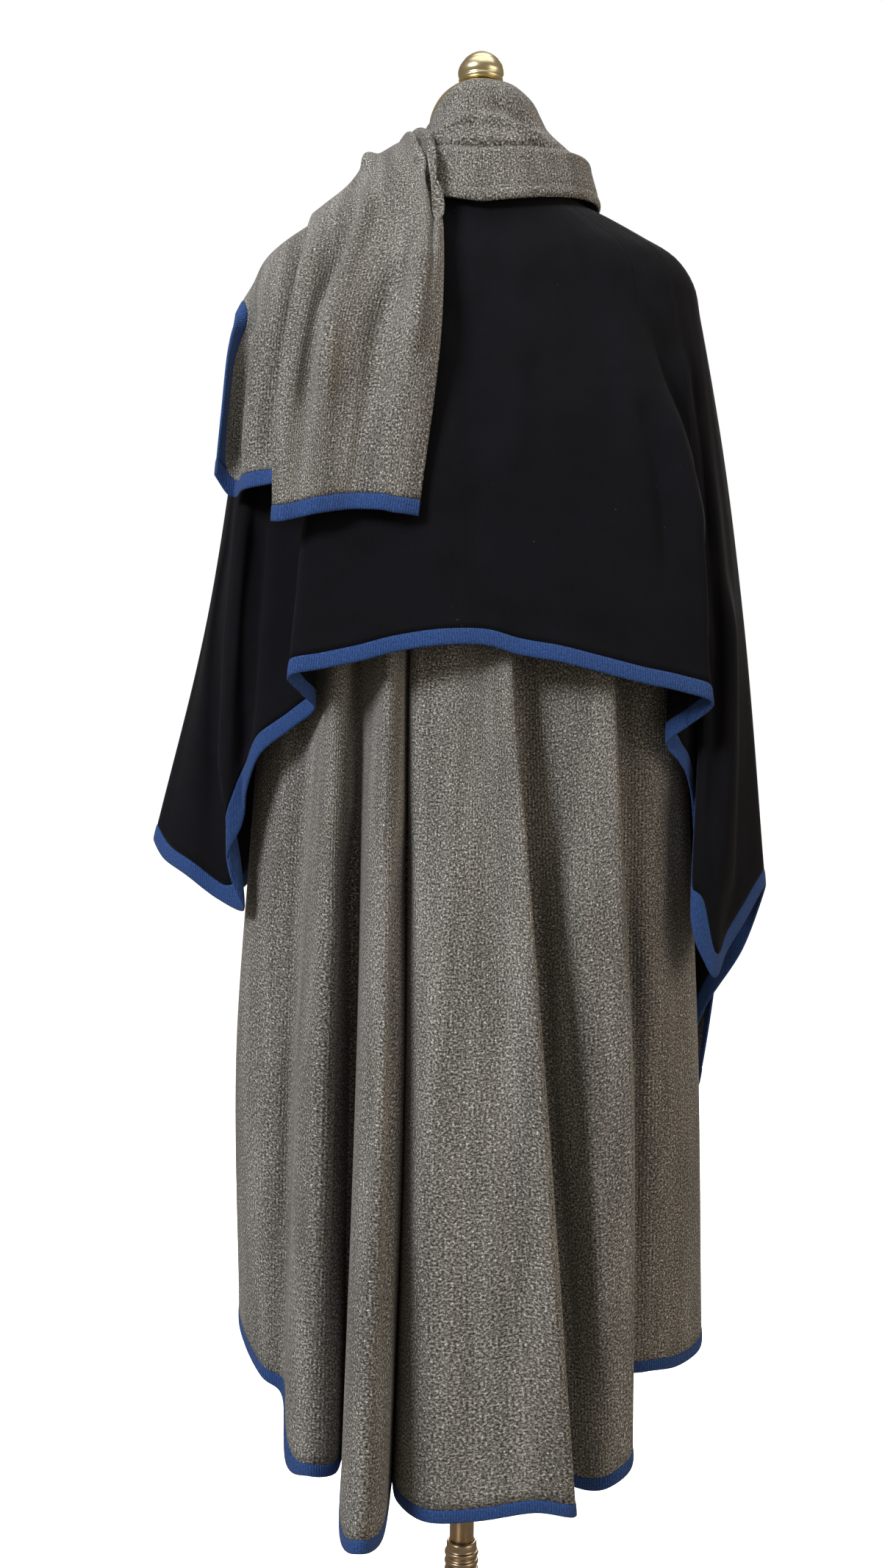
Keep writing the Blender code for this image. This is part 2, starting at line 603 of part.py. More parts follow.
# ---------------------------------------------------------------- the layers' columns
def long_cape_columns():
    """Key points of every column of the long cape, from the neck to the hem."""
    columns = []
    for _, bearing, high_x, high_y, mid_x, mid_y, hem_x, hem_y, hem_z in LONG_CAPE:
        keys = [off_form(bearing, level, GREY_OUT) for level in SHOULDER_LEVELS]
        high, mid = np.array((high_x, high_y, HIGH)), np.array((mid_x, mid_y, MID))
        bust = keys[-1] + (high - keys[-1]) * (keys[-1][2] - BUST) / (keys[-1][2] - HIGH)
        hip = high + (mid - high) * (HIGH - HIP) / (HIGH - MID)
        keys.append(clear_of_form(bust[0], bust[1], BUST, GREY_OUT + 1.5))
        keys += [high, clear_of_form(hip[0], hip[1], HIP, GREY_OUT + 3.0), mid]
        keys.append((hem_x, hem_y, hem_z))
        columns.append(keys)
    return np.asarray(columns, float)


def over_cape_columns():
    """Key points of every column of the over-cape, from the neck to the hem."""
    columns = []
    for _, bearing, upper_x, upper_y, lower_x, lower_y, hem_x, hem_y, hem_z in OVER_CAPE:
        keys = [off_form(bearing, level, BLACK_OUT) for level in SHOULDER_LEVELS]
        keys += [(upper_x, upper_y, UPPER), (lower_x, lower_y, LOWER), (hem_x, hem_y, hem_z)]
        columns.append(keys)
    return np.asarray(columns, float)


def wrap_front_columns(steps=10):
    """Columns of the wrap across the chest: each station's line, neck edge to lower edge."""
    table = np.asarray(WRAP_SECTIONS)
    columns = []
    for station, row in enumerate(WRAP_STATIONS):
        gather = (station / (len(WRAP_STATIONS) - 1)) ** 1.5
        keys = []
        for share in np.linspace(0.0, 1.0, steps + 1):
            turn = math.radians(row[1] + share * (row[3] - row[1]))
            height = row[2] + share * (row[4] - row[2])
            half_width, front = through(table[:, 0], table[:, 1:], [height])[0]
            for _, place, width, rise in WRAP_FOLDS:
                swell = gather * rise * math.exp(-((share - place) / width) ** 2)
                half_width += 0.2 * swell
                front += swell
            half_width -= row[5] * share ** 8
            front -= row[5] * share ** 8
            keys.append((half_width * math.cos(turn), front * math.sin(turn), height))
        columns.append(keys)
    return np.asarray(columns, float)


def wrap_back_columns(table):
    """Columns of the wrap's end behind the crest of the shoulder."""
    columns = []
    for row in table:
        columns.append([(row[1], -CREST_GAP, row[2]), row[3:6], row[6:9], row[9:12], row[12:15]])
    return np.asarray(columns, float)


# ---------------------------------------------------------------- pieces of the cape
LONG_LOW_ROWS = (0.09, 0.2, 0.32, 0.45, 0.6, 0.78, 1.0)
OVER_LOW_ROWS = (0.14, 0.32, 0.52, 0.74, 1.0)


def row_of(table, name):
    """Number of the row with this name."""
    return [row[0] for row in table].index(name)


def layer(columns, table, braid, low_rows, seams, names, finish_name):
    """One whole cape: its panels, the hem braid under each and the two front braids."""
    sheet = Sheet(columns, braid)
    grid = sheet.rows(len(SHOULDER_LEVELS), low_rows)
    seams = [row_of(table, name) for name in seams]
    places = sewn(sheet, grid, range(len(table)), seams, True, True)
    points = sheet.pick(grid, places)
    hem = len(points) - 2
    starts = [2]
    for number, seam in enumerate(seams):
        starts.append(seam + 2 + number + 1)
    starts.append(points.shape[1] - 2)
    normals = shared(outward(points), hem, starts)
    for name, first, after in zip(names, starts[:-1], starts[1:]):
        panel = np.s_[:hem, first:after]
        cloth(name, points[panel], CLOTH, finish_name, normals=normals[panel])
        low = first if first > 2 else 0
        high = after if after < points.shape[1] - 2 else points.shape[1]
        strip = np.s_[hem:, low:high]
        cloth(name + "_hem_braid", points[strip], BRAID, "blue_braid", normals=normals[strip])
    for name, side in ((names[0], np.s_[:hem, :2]), (names[-1], np.s_[:hem, -2:])):
        cloth(name + "_edge_braid", points[side], BRAID, "blue_braid", normals=normals[side])


def long_cape():
    """The long grey cape: left front, back and right front."""
    layer(long_cape_columns(), LONG_CAPE, LONG_BRAID, LONG_LOW_ROWS,
          ("left side", "right side front"),
          ("long_left_front", "long_back", "long_right_front"), "grey_knit")


def over_cape():
    """The short black over-cape: left side, back and right side."""
    layer(over_cape_columns(), OVER_CAPE, OVER_BRAID, OVER_LOW_ROWS,
          ("left pleat", "right pleat"), ("over_left", "over_back", "over_right"),
          "black_jersey")


def wrap_piece(name, columns, per_column, top_rows, low_rows, first_braid, last_braid):
    """One stretch of the wrap with its hem braid and side braids."""
    sheet = Sheet(columns, WRAP_BRAID)
    grid = sheet.rows(top_rows, low_rows)
    at = np.linspace(0.0, sheet.last, sheet.last * per_column + 1)
    points = sheet.pick(grid, sewn(sheet, grid, at, (), first_braid, last_braid))
    hem = len(points) - 2
    starts = [2] * first_braid + [points.shape[1] - 2] * last_braid
    normals = shared(outward(points), hem, starts)
    first = 2 if first_braid else 0
    after = points.shape[1] - 2 if last_braid else points.shape[1]
    cloth(name, points[:hem, first:after], CLOTH, "grey_knit",
          normals=normals[:hem, first:after])
    cloth(name + "_hem_braid", points[hem:], BRAID, "blue_braid", normals=normals[hem:])
    for wanted, side in ((first_braid, np.s_[:hem, :2]), (last_braid, np.s_[:hem, -2:])):
        if wanted:
            cloth(name + "_edge_braid", points[side], BRAID, "blue_braid",
                  normals=normals[side])


def wrap():
    """The wide grey wrap: across the chest, over the left shoulder and down the back."""
    front_rows = (0.05, 0.12, 0.22, 0.32, 0.43, 0.54, 0.66, 0.78, 0.89, 1.0)
    wrap_piece("wrap_front", wrap_front_columns(), 2, 1, front_rows, True, False)
    wrap_piece("wrap_under", wrap_back_columns(WRAP_UNDER), 2, 3, (0.33, 0.66, 1.0),
               False, True)
    wrap_piece("wrap_tail", wrap_back_columns(WRAP_TAIL), 2, 3, (0.3, 0.6, 1.0), False, False)


def band_edge(bearings, edge, inset=0.0):
    """Points of one edge of the collar band at the given bearings."""
    height, rise, right, left, half_depth = edge
    turns = np.radians(bearings)
    half_width = np.where(np.cos(turns) > 0.0, right, left)
    return np.stack([
        (half_width - inset) * np.cos(turns),
        (half_depth - inset) * np.sin(turns),
        height + rise * np.abs(np.cos(turns)) ** 1.2,
    ], axis=1)


def collar():
    """The standing collar up the neck and the folded band round its foot."""
    bearings = np.arange(-90.0, 270.0, 15.0)
    inset = 0.5 * BAND_FOLD + SEAM + 0.5 * CLOTH
    waist = band_edge(bearings, BAND_TOP_EDGE, inset)
    foot = waist.copy()
    foot[:, 2] -= BAND_TOP_EDGE[0] - STAND_FOOT
    edge, profile = np.asarray(COLLAR_TOP_EDGE), np.asarray(STAND_PROFILE)
    top = through(edge[:, 0], edge[:, 1:], bearings)[:, 0]
    rings = []
    for share in (0.0, 0.18, 0.36, 0.54, 0.7, 0.85):
        ring = []
        for turn, high, low in zip(np.radians(bearings), top, waist[:, 2]):
            height = high + (low - high) * share
            right, left, depth = through(profile[:, 0], profile[:, 1:], [height])[0]
            half_width = right if math.cos(turn) > 0.0 else left
            ring.append((half_width * math.cos(turn), depth * math.sin(turn), height))
        rings.append(ring)
    cloth("collar_stand", np.asarray(rings + [waist, foot]), CLOTH, "grey_knit", closed=True)
    shares = np.linspace(0.0, 1.0, 4)[:, None, None]
    high = band_edge(bearings, BAND_TOP_EDGE)
    low = band_edge(bearings, BAND_BOTTOM_EDGE)
    rest = BLACK_OUT + 0.5 * CLOTH + 0.5 * BAND_FOLD + 2.0 * SEAM
    band = high + (low - high) * shares
    for point in band.reshape(-1, 3):
        point[:] = clear_of_form(*point, rest)
    cloth("collar_band", band, BAND_FOLD, "grey_knit", closed=True)


# ---------------------------------------------------------------- the form and its stand
def dress_form():
    """The limbless torso, its brass neck cap and finial, and the pole below."""
    bearings = np.arange(0.0, 360.0, 10.0)
    heights = [row[0] for row in FORM_SECTIONS]
    rings = [[on_form(bearing, height) for bearing in bearings] for height in heights]
    count = len(bearings)
    points = np.asarray(rings).reshape(-1, 3)
    faces = [tuple(range(count)), tuple(range(len(points) - count, len(points)))]
    for ring in range(len(heights) - 1):
        for side in range(count):
            a, b = ring * count + side, ring * count + (side + 1) % count
            faces.append((a, b, b + count, a + count))
    solid("form_torso", points, faces, "form_cover")

    cap_foot = NECK_TOP + SEAM
    turned("neck_cap", [(0.0, cap_foot), (51.0, cap_foot)]
           + [(radius, cap_foot + rise) for radius, rise in NECK_CAP]
           + [(0.0, cap_foot + NECK_CAP[-1][1])], "polished_brass", 36)

    foot = cap_foot + NECK_CAP[-1][1] + SEAM
    finial = [(0.0, foot)] + [(radius, foot + rise) for radius, rise in FINIAL]
    finial.append((0.0, FINIAL_TOP))
    turned("finial", finial, "polished_brass", 28)

    top = FORM_BOTTOM - SEAM
    turned("pole", [(0.0, POLE_FOOT), (POLE_RADIUS - 1.0, POLE_FOOT),
                    (POLE_RADIUS, POLE_FOOT + 1.0), (POLE_RADIUS, top), (0.0, top)],
           "aged_brass")


def stand():
    """The round base, the outer tube and the ringed lock collar."""
    socket = TUBE_RADIUS + SEAM
    turned("base", [
        (0.0, 0.0), (BASE_RADIUS - 2.0, 0.0), (BASE_RADIUS, 2.0), (BASE_RADIUS, BASE_RIM - 2.0),
        (BASE_RADIUS - 3.0, BASE_RIM), (150.0, BASE_RIM + 3.0), (120.0, 24.0), (80.0, 31.0),
        (45.0, 38.0), (32.0, 43.0), (BOSS_RADIUS, 50.0), (BOSS_RADIUS, BOSS_TOP - 2.0),
        (BOSS_RADIUS - 2.0, BOSS_TOP), (socket, BOSS_TOP), (socket, SOCKET_FLOOR),
        (0.0, SOCKET_FLOOR)], "aged_brass", 48)
    low = SOCKET_FLOOR + SEAM
    turned("stand_tube", [(BORE_RADIUS, low), (TUBE_RADIUS, low), (TUBE_RADIUS, TUBE_TOP),
                          (BORE_RADIUS, TUBE_TOP)], "aged_brass", bored=True)
    low = TUBE_TOP + SEAM
    collar_line = [(BORE_RADIUS, low), (TUBE_RADIUS, low)]
    for middle in RING_HEIGHTS:
        collar_line += [(TUBE_RADIUS, middle - 3.0), (RING_RADIUS, middle - 1.4),
                        (RING_RADIUS, middle + 1.4), (TUBE_RADIUS, middle + 3.0)]
    collar_line += [(TUBE_RADIUS, COLLAR_TOP - 2.0), (TUBE_RADIUS - 1.0, COLLAR_TOP),
                    (BORE_RADIUS, COLLAR_TOP)]
    turned("lock_collar", collar_line, "aged_brass", bored=True)


def main():
    for leftover in list(bpy.data.objects):
        bpy.data.objects.remove(leftover, do_unlink=True)
    stand()
    dress_form()
    long_cape()
    over_cape()
    wrap()
    collar()


main()
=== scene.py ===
"""Looks of the convertible wrap cape on its dress form.

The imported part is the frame.  Every cloth panel, braid and turned brass piece is made again
here at full detail from the garment's own sizes, rides on the body it belongs to and stands
for the plain solid in the frame.

Tables are in millimetres, in the frame's axes: +Z up, +Y the way the wearer faces, +X the
wearer's right.  Bearings are degrees round the body: 0 right, 90 front, 180 left, 270 back.
"""
import math

import bpy
import numpy as np
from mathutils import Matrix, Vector


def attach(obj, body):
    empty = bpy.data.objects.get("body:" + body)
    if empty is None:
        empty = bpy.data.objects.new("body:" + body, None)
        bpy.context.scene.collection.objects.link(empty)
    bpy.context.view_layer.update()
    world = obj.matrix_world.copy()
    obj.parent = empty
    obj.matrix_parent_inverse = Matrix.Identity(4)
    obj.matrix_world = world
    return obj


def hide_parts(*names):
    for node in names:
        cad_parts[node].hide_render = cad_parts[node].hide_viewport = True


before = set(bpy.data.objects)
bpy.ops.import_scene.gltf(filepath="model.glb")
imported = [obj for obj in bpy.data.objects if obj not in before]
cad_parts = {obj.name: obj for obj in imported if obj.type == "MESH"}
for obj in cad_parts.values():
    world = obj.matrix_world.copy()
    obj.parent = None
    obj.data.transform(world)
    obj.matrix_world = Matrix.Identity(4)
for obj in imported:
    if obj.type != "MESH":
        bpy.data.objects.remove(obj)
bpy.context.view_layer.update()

# ---- sizes (mm)
MM = 0.001               # metres in a millimetre
KNIT = 1.9               # thickness of the knit cloth
BRAID = 3.2              # thickness of the edge braid at its middle
LONG_BRAID = 11.5        # height of the braid on the face of the long cape
OVER_BRAID = 15.0        # height of the braid on the face of the over-cape and the wrap
SEAM = 0.3               # space between two sewn pieces
GREY_OUT = 3.5           # middle of the long cape's cloth outside the form
BUST_EASE = 1.5          # room added to it at the bust
HIP_EASE = 3.0           # room added to it at the hip
BLACK_OUT = 7.5          # middle of the over-cape's cloth outside the form
CREST_GAP = 0.8          # the wrap's two back layers start this far behind its crest
BAND_FOLD = 5.0          # thickness of the doubled collar band
BAND_ROLL = 1.5          # the band's rolled top edge stands out this far
STAND_FOOT = 1560.0      # lower edge of the standing collar, inside the band

# heights of the keys down a column: of both capes, then of the long one and the over-cape
SHOULDER_LEVELS = (1556.0, 1538.0, 1518.0, 1500.0, 1482.0, 1462.0, 1432.0)
BUST, HIGH, HIP, MID = 1290.0, 1070.0, 900.0, 700.0
UPPER, LOWER = 1300.0, 1130.0

# ---- fineness of the meshes
ACROSS, WRAP_ACROSS = 8, 12     # fine columns between two columns of a table
SPAN_POINTS = 14                # points between two keys down a column
LONG_ROWS, OVER_ROWS, WRAP_ROWS, BACK_ROWS = 130, 90, 110, 90   # rows from neck to braid
WRAP_KEYS = 33                  # keys from the wrap's neck edge to its lower edge
COLLAR_STEP = 3.0               # degrees between the collar's columns
STAND_RINGS = 60                # rings of the standing collar above the band
TURNED_SIDES = 96
# points along the curved stretches of the turned profiles
CAP_POINTS, FOOT_POINTS, BAND_POINTS, DOME_POINTS, SLOPE_POINTS = 40, 14, 30, 20, 60

# ---- the dress form
# height, half width, depth to the back, depth to the front
FORM_SECTIONS = (
    (880, 152, 86, 86), (896, 163, 95, 95), (950, 168, 102, 102), (1020, 150, 94, 98),
    (1085, 130, 84, 92), (1180, 148, 94, 114), (1280, 178, 103, 127), (1350, 199, 106, 115),
    (1400, 210, 104, 108), (1432, 214, 101, 103), (1450, 211.5, 96, 98), (1462, 208, 92.5, 94),
    (1472, 203, 88.5, 90.5), (1482, 195, 85, 87), (1500, 166, 77, 79), (1518, 133, 69.5, 71),
    (1538, 92, 60, 62), (1550, 70, 55, 57), (1566, 57, 52, 54), (1618, 52, 50, 52),
)
FORM_SQUARENESS = 2.2    # 2 is an ellipse, higher is squarer

# ---- the long grey cape
# column, bearing on the shoulder, x and y at HIGH, x and y at MID, then x, y, z at the hem.
# The columns run from the left front edge round the back to the right front edge.
LONG_CAPE = (
    ("left front edge", 90, 12, 136, 10, 150, 8, 158, 512),
    ("left front fold 1", 97, -12, 146, -16, 184, -20, 204, 508),
    ("left front dip 1", 105, -44, 138, -46, 146, -50, 150, 502),
    ("left front fold 2", 114, -80, 144, -84, 180, -88, 200, 496),
    ("left front dip 2", 124, -114, 126, -118, 130, -120, 130, 488),
    ("left front fold 3", 135, -148, 120, -158, 148, -166, 162, 480),
    ("left front dip 3", 147, -174, 86, -182, 84, -184, 84, 470),
    ("left side fold", 159, -196, 66, -216, 78, -220, 82, 460),
    ("left side dip", 170, -204, 34, -222, 34, -218, 36, 448),
    ("left side", 181, -211, 2, -231, -2, -226, 2, 426),
    ("left panel", 193, -206, -34, -224, -42, -215, -36, 409),
    ("left panel back", 204, -184, -58, -200, -76, -195, -72, 392),
    ("dip before a", 214, -160, -74, -170, -80, -174, -82, 376),
    ("fold a left", 221, -142, -100, -159, -108, -168, -102, 321),
    ("fold a crest", 227, -133, -120, -140, -132, -145, -128, 321),
    ("fold a right", 233, -121, -116, -122, -116, -122, -112, 317),
    ("dip a b", 238, -108, -98, -110, -74, -116, -72, 322),
    ("fold b left", 243, -93, -118, -101, -168, -110, -212, 303),
    ("fold b crest", 248, -82, -140, -83, -206, -92, -254, 308),
    ("fold b right", 253, -70, -130, -64, -176, -74, -214, 303),
    ("dip b c", 257, -62, -106, -60, -104, -68, -112, 318),
    ("fold c left", 261, -56, -126, -58, -158, -62, -166, 316),
    ("fold c shoulder", 265, -18, -136, -38, -190, -36, -204, 314),
    ("fold c middle", 269, 2, -140, 4, -192, 10, -206, 316),
    ("fold c rise", 273, 18, -146, 38, -202, 60, -206, 324),
    ("fold c edge", 278, 33, -148, 65, -204, 97, -196, 317),
    ("fold c return", 281, 26, -124, 46, -156, 78, -148, 322),
    ("dip c d", 285, 42, -110, 52, -122, 80, -110, 324),
    ("fold d left", 290, 68, -118, 82, -132, 102, -130, 315),
    ("fold d middle", 296, 98, -130, 116, -146, 130, -144, 320),
    ("fold d edge", 302, 127, -132, 149, -144, 155, -126, 337),
    ("fold d return", 307, 122, -104, 132, -104, 140, -86, 364),
    ("dip d e", 313, 140, -84, 142, -76, 148, -58, 390),
    ("fold e left", 322, 168, -84, 174, -74, 176, -54, 396),
    ("fold e", 333, 192, -66, 204, -54, 208, -38, 396),
    ("right side", 347, 206, -34, 226, -18, 234, -8, 402),
    ("right side front", 359, 211, -2, 230, 14, 238, 18, 412),
    ("right dip", 370, 205, 30, 218, 36, 222, 40, 420),
    ("right front fold", 381, 198, 62, 216, 78, 222, 88, 424),
    ("right front dip", 393, 174, 84, 180, 84, 184, 86, 438),
    ("right front fold 2", 405, 146, 118, 154, 146, 160, 160, 452),
    ("right front dip 2", 416, 110, 124, 114, 128, 116, 130, 468),
    ("right front fold 3", 427, 76, 138, 80, 172, 82, 190, 482),
    ("right front dip 3", 436, 46, 134, 48, 142, 48, 146, 494),
    ("right front edge", 444, 22, 138, 22, 158, 24, 166, 504),
)

# ---- the short black over-cape
# column, bearing on the shoulder, x and y at UPPER, x and y at LOWER, then x, y, z at the hem
OVER_CAPE = (
    ("left front edge", 94, -8, 152, -8, 162, -8, 168, 1030),
    ("left front fold", 103, -36, 156, -38, 174, -40, 182, 1024),
    ("left front dip", 113, -72, 148, -78, 160, -82, 164, 1008),
    ("left chest fold", 123, -108, 144, -118, 166, -124, 176, 982),
    ("left chest dip", 134, -144, 124, -158, 138, -166, 142, 944),
    ("left arm front", 146, -178, 110, -200, 132, -214, 140, 892),
    ("left front tip", 157, -206, 82, -232, 96, -246, 102, 848),
    ("left arm outer front", 168, -228, 46, -254, 54, -284, 56, 862),
    ("left arm outer", 180, -241, 6, -267, 8, -317, 4, 905),
    ("left arm turn", 188, -237, -24, -262, -20, -306, -20, 888),
    ("left arm fold", 195, -231, -48, -258, -42, -279, -42, 872),
    ("left arm dip", 201, -225, -56, -252, -48, -249, -50, 851),
    ("left tip", 206, -219, -66, -246, -64, -220, -66, 840),
    ("left edge low", 210, -214, -74, -242, -72, -230, -77, 868),
    ("left edge bulge", 214, -208, -78, -234, -74, -234, -80, 893),
    ("left edge waist", 218, -200, -80, -222, -74, -221, -79, 924),
    ("left edge wave", 222, -192, -86, -210, -82, -217, -85, 955),
    ("left edge high", 226, -184, -92, -196, -88, -204, -91, 990),
    ("left edge top", 230, -171, -100, -172, -94, -175, -98, 1014),
    ("left tuck", 233, -155, -109, -154, -106, -151, -108, 1033),
    ("left pleat", 236, -148, -124, -157, -129, -161, -131, 1046),
    ("left back corner", 239, -144, -138, -164, -151, -171, -156, 1061),
    ("back 1", 244, -119, -143, -134, -158, -140, -162, 1068),
    ("back 2", 250, -92, -144, -103, -162, -106, -167, 1075),
    ("back 3", 257, -64, -146, -70, -164, -73, -168, 1084),
    ("back 4", 264, -34, -146, -36, -168, -33, -174, 1090),
    ("back 5", 270, -2, -146, 0, -164, 7, -168, 1091),
    ("back 6", 277, 32, -146, 36, -162, 37, -166, 1083),
    ("back 7", 284, 66, -144, 72, -164, 73, -170, 1077),
    ("back 8", 291, 102, -140, 110, -160, 112, -166, 1068),
    ("back 9", 298, 136, -134, 146, -156, 151, -160, 1059),
    ("back 10", 304, 164, -126, 180, -148, 189, -151, 1052),
    ("right back corner", 308, 186, -114, 208, -132, 219, -139, 1042),
    ("right pleat", 311, 190, -100, 199, -112, 200, -117, 1022),
    ("right tuck", 314, 185, -89, 188, -97, 183, -101, 1004),
    ("right edge top", 317, 190, -81, 196, -88, 194, -93, 990),
    ("right edge high", 320, 195, -75, 203, -84, 205, -82, 974),
    ("right edge roll", 323, 199, -71, 209, -80, 214, -60, 945),
    ("right edge hidden", 326, 203, -69, 214, -80, 217, -52, 898),
    ("right edge fold", 329, 207, -70, 216, -86, 210, -84, 850),
    ("right edge low", 332, 212, -70, 222, -88, 211, -91, 824),
    ("right edge foot", 336, 219, -68, 231, -87, 221, -88, 801),
    ("right tip", 340, 225, -62, 240, -82, 234, -80, 783),
    ("right arm dip", 344, 231, -48, 249, -58, 248, -56, 805),
    ("right arm fold", 350, 239, -32, 259, -36, 270, -34, 834),
    ("right arm outer", 358, 246, -4, 270, -2, 296, 0, 866),
    ("right arm outer front", 369, 238, 30, 262, 30, 281, 34, 800),
    ("right arm front", 379, 226, 56, 250, 58, 250, 50, 745),
    ("right front tip", 389, 208, 80, 232, 88, 224, 68, 690),
    ("right chest 1", 399, 182, 104, 204, 120, 196, 120, 730),
    ("right chest 2", 409, 150, 124, 168, 142, 158, 148, 820),
    ("right chest 3", 419, 116, 142, 128, 164, 118, 170, 905),
    ("right front dip", 430, 80, 148, 86, 162, 80, 166, 965),
    ("right front fold", 441, 46, 156, 46, 174, 44, 182, 1000),
    ("right front edge", 450, 16, 154, 14, 166, 12, 172, 1018),
)

# ---- the wrap
# across the chest: height, half width and depth to the front of its sections
WRAP_SECTIONS = (
    (640, 266, 206), (850, 283, 206), (1000, 278, 202), (1130, 270, 194), (1300, 257, 174),
    (1400, 246, 146), (1430, 240, 138), (1461, 227, 129), (1487, 210, 121), (1505, 188, 116),
    (1529, 157, 107), (1559, 127, 97), (1575, 116, 91), (1590, 107, 84), (1601, 90, 78),
    (1613, 73, 71),
)
# fold across the chest, its place from the neck edge (0) to the lower edge (1), half width in
# the same measure, and height in mm where the wrap gathers on the shoulder
WRAP_FOLDS = (
    ("neck roll", 0.1, 0.05, 9),
    ("high fold", 0.27, 0.06, 12),
    ("chest fold", 0.47, 0.07, 14),
    ("low fold", 0.68, 0.07, 12),
    ("edge fold", 0.88, 0.05, 7),
)
GATHERING = 1.5          # power by which those folds deepen towards the shoulder
FOLD_AT_SIDES = 0.2      # share of their height that stands out at the sides
# station, bearing and height at the neck edge, bearing and height at the lower edge, and how
# far its lower corner rolls in
WRAP_STATIONS = (
    ("right edge", 27, 1526, 18, 655, 14),
    ("right roll", 33, 1530, 27, 682, 0),
    ("right side", 43, 1536, 42, 745, 0),
    ("right chest", 58, 1549, 60, 850, 0),
    ("middle right", 74, 1560, 78, 950, 0),
    ("middle left", 92, 1571, 96, 1050, 0),
    ("left chest", 112, 1583, 114, 1152, 0),
    ("left arm", 134, 1595, 134, 1256, 0),
    ("left shoulder", 157, 1605, 156, 1352, 0),
    ("crest", 180, 1611, 180, 1430, 0),
)
CORNER_ROLL = 8          # power that keeps the roll to the corner

# the wrap's end on the back of the shoulder, under the tail: column, x and height on the
# crest, then x, y, z behind the shoulder, on the shoulder blade, lower down and at the hem
WRAP_UNDER = (
    ("inner", -128, 1542, -132, -46, 1527, -140, -92, 1464, -149, -132, 1360, -151, -154, 1240),
    ("under tail", -156, 1524, -161, -49, 1511, -169, -91, 1449, -177, -129, 1352, -181, -147, 1240),
    ("ridge", -190, 1504, -193, -51, 1486, -198, -92, 1429, -204, -119, 1340, -208, -130, 1238),
    ("ridge side", -211, 1487, -212, -48, 1463, -213, -83, 1408, -217, -106, 1330, -221, -115, 1237),
    ("valley", -225, 1463, -222, -40, 1446, -222, -64, 1398, -224, -82, 1325, -229, -90, 1235),
    ("roll", -234, 1446, -232, -38, 1434, -231, -64, 1390, -233, -84, 1321, -238, -90, 1238),
    ("edge", -240, 1430, -239, -42, 1421, -240, -72, 1386, -243, -93, 1318, -249, -98, 1254),
)
# the gathered tail on top, in the same columns
WRAP_TAIL = (
    ("right edge", -69, 1612, -46, -67, 1585, -38, -98, 1515, -36, -142, 1398, -55, -168, 1207),
    ("right strip", -72, 1615, -51, -77, 1587, -42, -108, 1511, -44, -150, 1396, -68, -173, 1208),
    ("first crease", -75, 1609, -56, -68, 1580, -46, -104, 1508, -52, -154, 1394, -78, -174, 1209),
    ("narrow strip", -79, 1612, -63, -77, 1581, -50, -111, 1505, -61, -156, 1392, -88, -174, 1211),
    ("second crease", -83, 1605, -69, -68, 1575, -57, -112, 1500, -75, -150, 1391, -102, -171, 1212),
    ("main roll", -89, 1600, -79, -75, 1567, -74, -108, 1493, -93, -143, 1390, -118, -169, 1212),
    ("high bump", -99, 1594, -94, -72, 1555, -97, -108, 1482, -116, -150, 1388, -135, -173, 1209),
    ("ridge", -111, 1587, -111, -67, 1545, -117, -112, 1470, -134, -157, 1386, -150, -175, 1206),
    ("valley", -128, 1563, -131, -63, 1528, -135, -103, 1456, -151, -146, 1376, -165, -171, 1203),
    ("left ridge", -147, 1544, -152, -67, 1515, -155, -111, 1447, -167, -152, 1358, -179, -171, 1200),
    ("left edge", -161, 1533, -166, -67, 1503, -170, -109, 1440, -178, -146, 1346, -188, -164, 1201),
)
# share of the way in x, y, z from the crest to the next point where the cloth rolls over
CREST_TURN = (0.4, 0.4, 0.16)

# ---- the collar
# bearing and height of the standing collar's top edge; it sits highest at the back
COLLAR_TOP_EDGE = (
    (-90, 1658), (-60, 1658), (-30, 1657.5), (0, 1656), (40, 1649), (90, 1636), (130, 1625),
    (165, 1620), (195, 1619), (206, 1621), (220, 1635), (237, 1650), (250, 1657), (270, 1658),
)
# height, half width on the right, half width on the left, half depth of the standing collar
STAND_PROFILE = (
    (1560, 101.7, 78, 72.2), (1587, 101.7, 76, 71.5), (1596, 90, 65, 66), (1605, 79, 58.5, 62),
    (1615, 69, 56, 59), (1629, 61, 54.5, 56.5), (1644, 53, 50, 52), (1657, 40, 40, 40),
    (1669, 24, 24, 24),
)
STAND_SHARE = 0.96       # share of its height above the band that the even rings take up
EDGE_THIN = 0.4          # share of the knit's thickness left at its top edge
# height at the back, rise at the sides, half width right and left, half depth
BAND_TOP_EDGE = (1574.0, 13.0, 105.5, 79.8, 76.0)
BAND_BOTTOM_EDGE = (1521.0, 21.0, 120.0, 112.0, 87.0)
SIDE_RISE = 1.2          # power by which the band rises towards the sides
# the band from its top edge (0) to its lower edge (1): place and share of its thickness;
# the top edge is rolled and the lower one turned up and stitched
BAND_ROWS = (
    (0.0, 0.2), (0.02, 0.8), (0.06, 1.15), (0.12, 1.25), (0.18, 1.1), (0.25, 1.0), (0.35, 1.0),
    (0.45, 1.0), (0.55, 1.0), (0.64, 1.0), (0.7, 0.95), (0.74, 0.72), (0.77, 0.72), (0.81, 1.0),
    (0.87, 1.15), (0.93, 1.05), (0.98, 0.7), (1.0, 0.25),
)

# across a braid, from one edge (0) to the other (1): place and share of its thickness
BRAID_STEPS = np.array((0.0, 0.05, 0.2, 0.5, 0.8, 0.95, 1.0))
BRAID_ROUND = np.array((0.35, 0.8, 1.0, 1.05, 1.0, 0.8, 0.3))

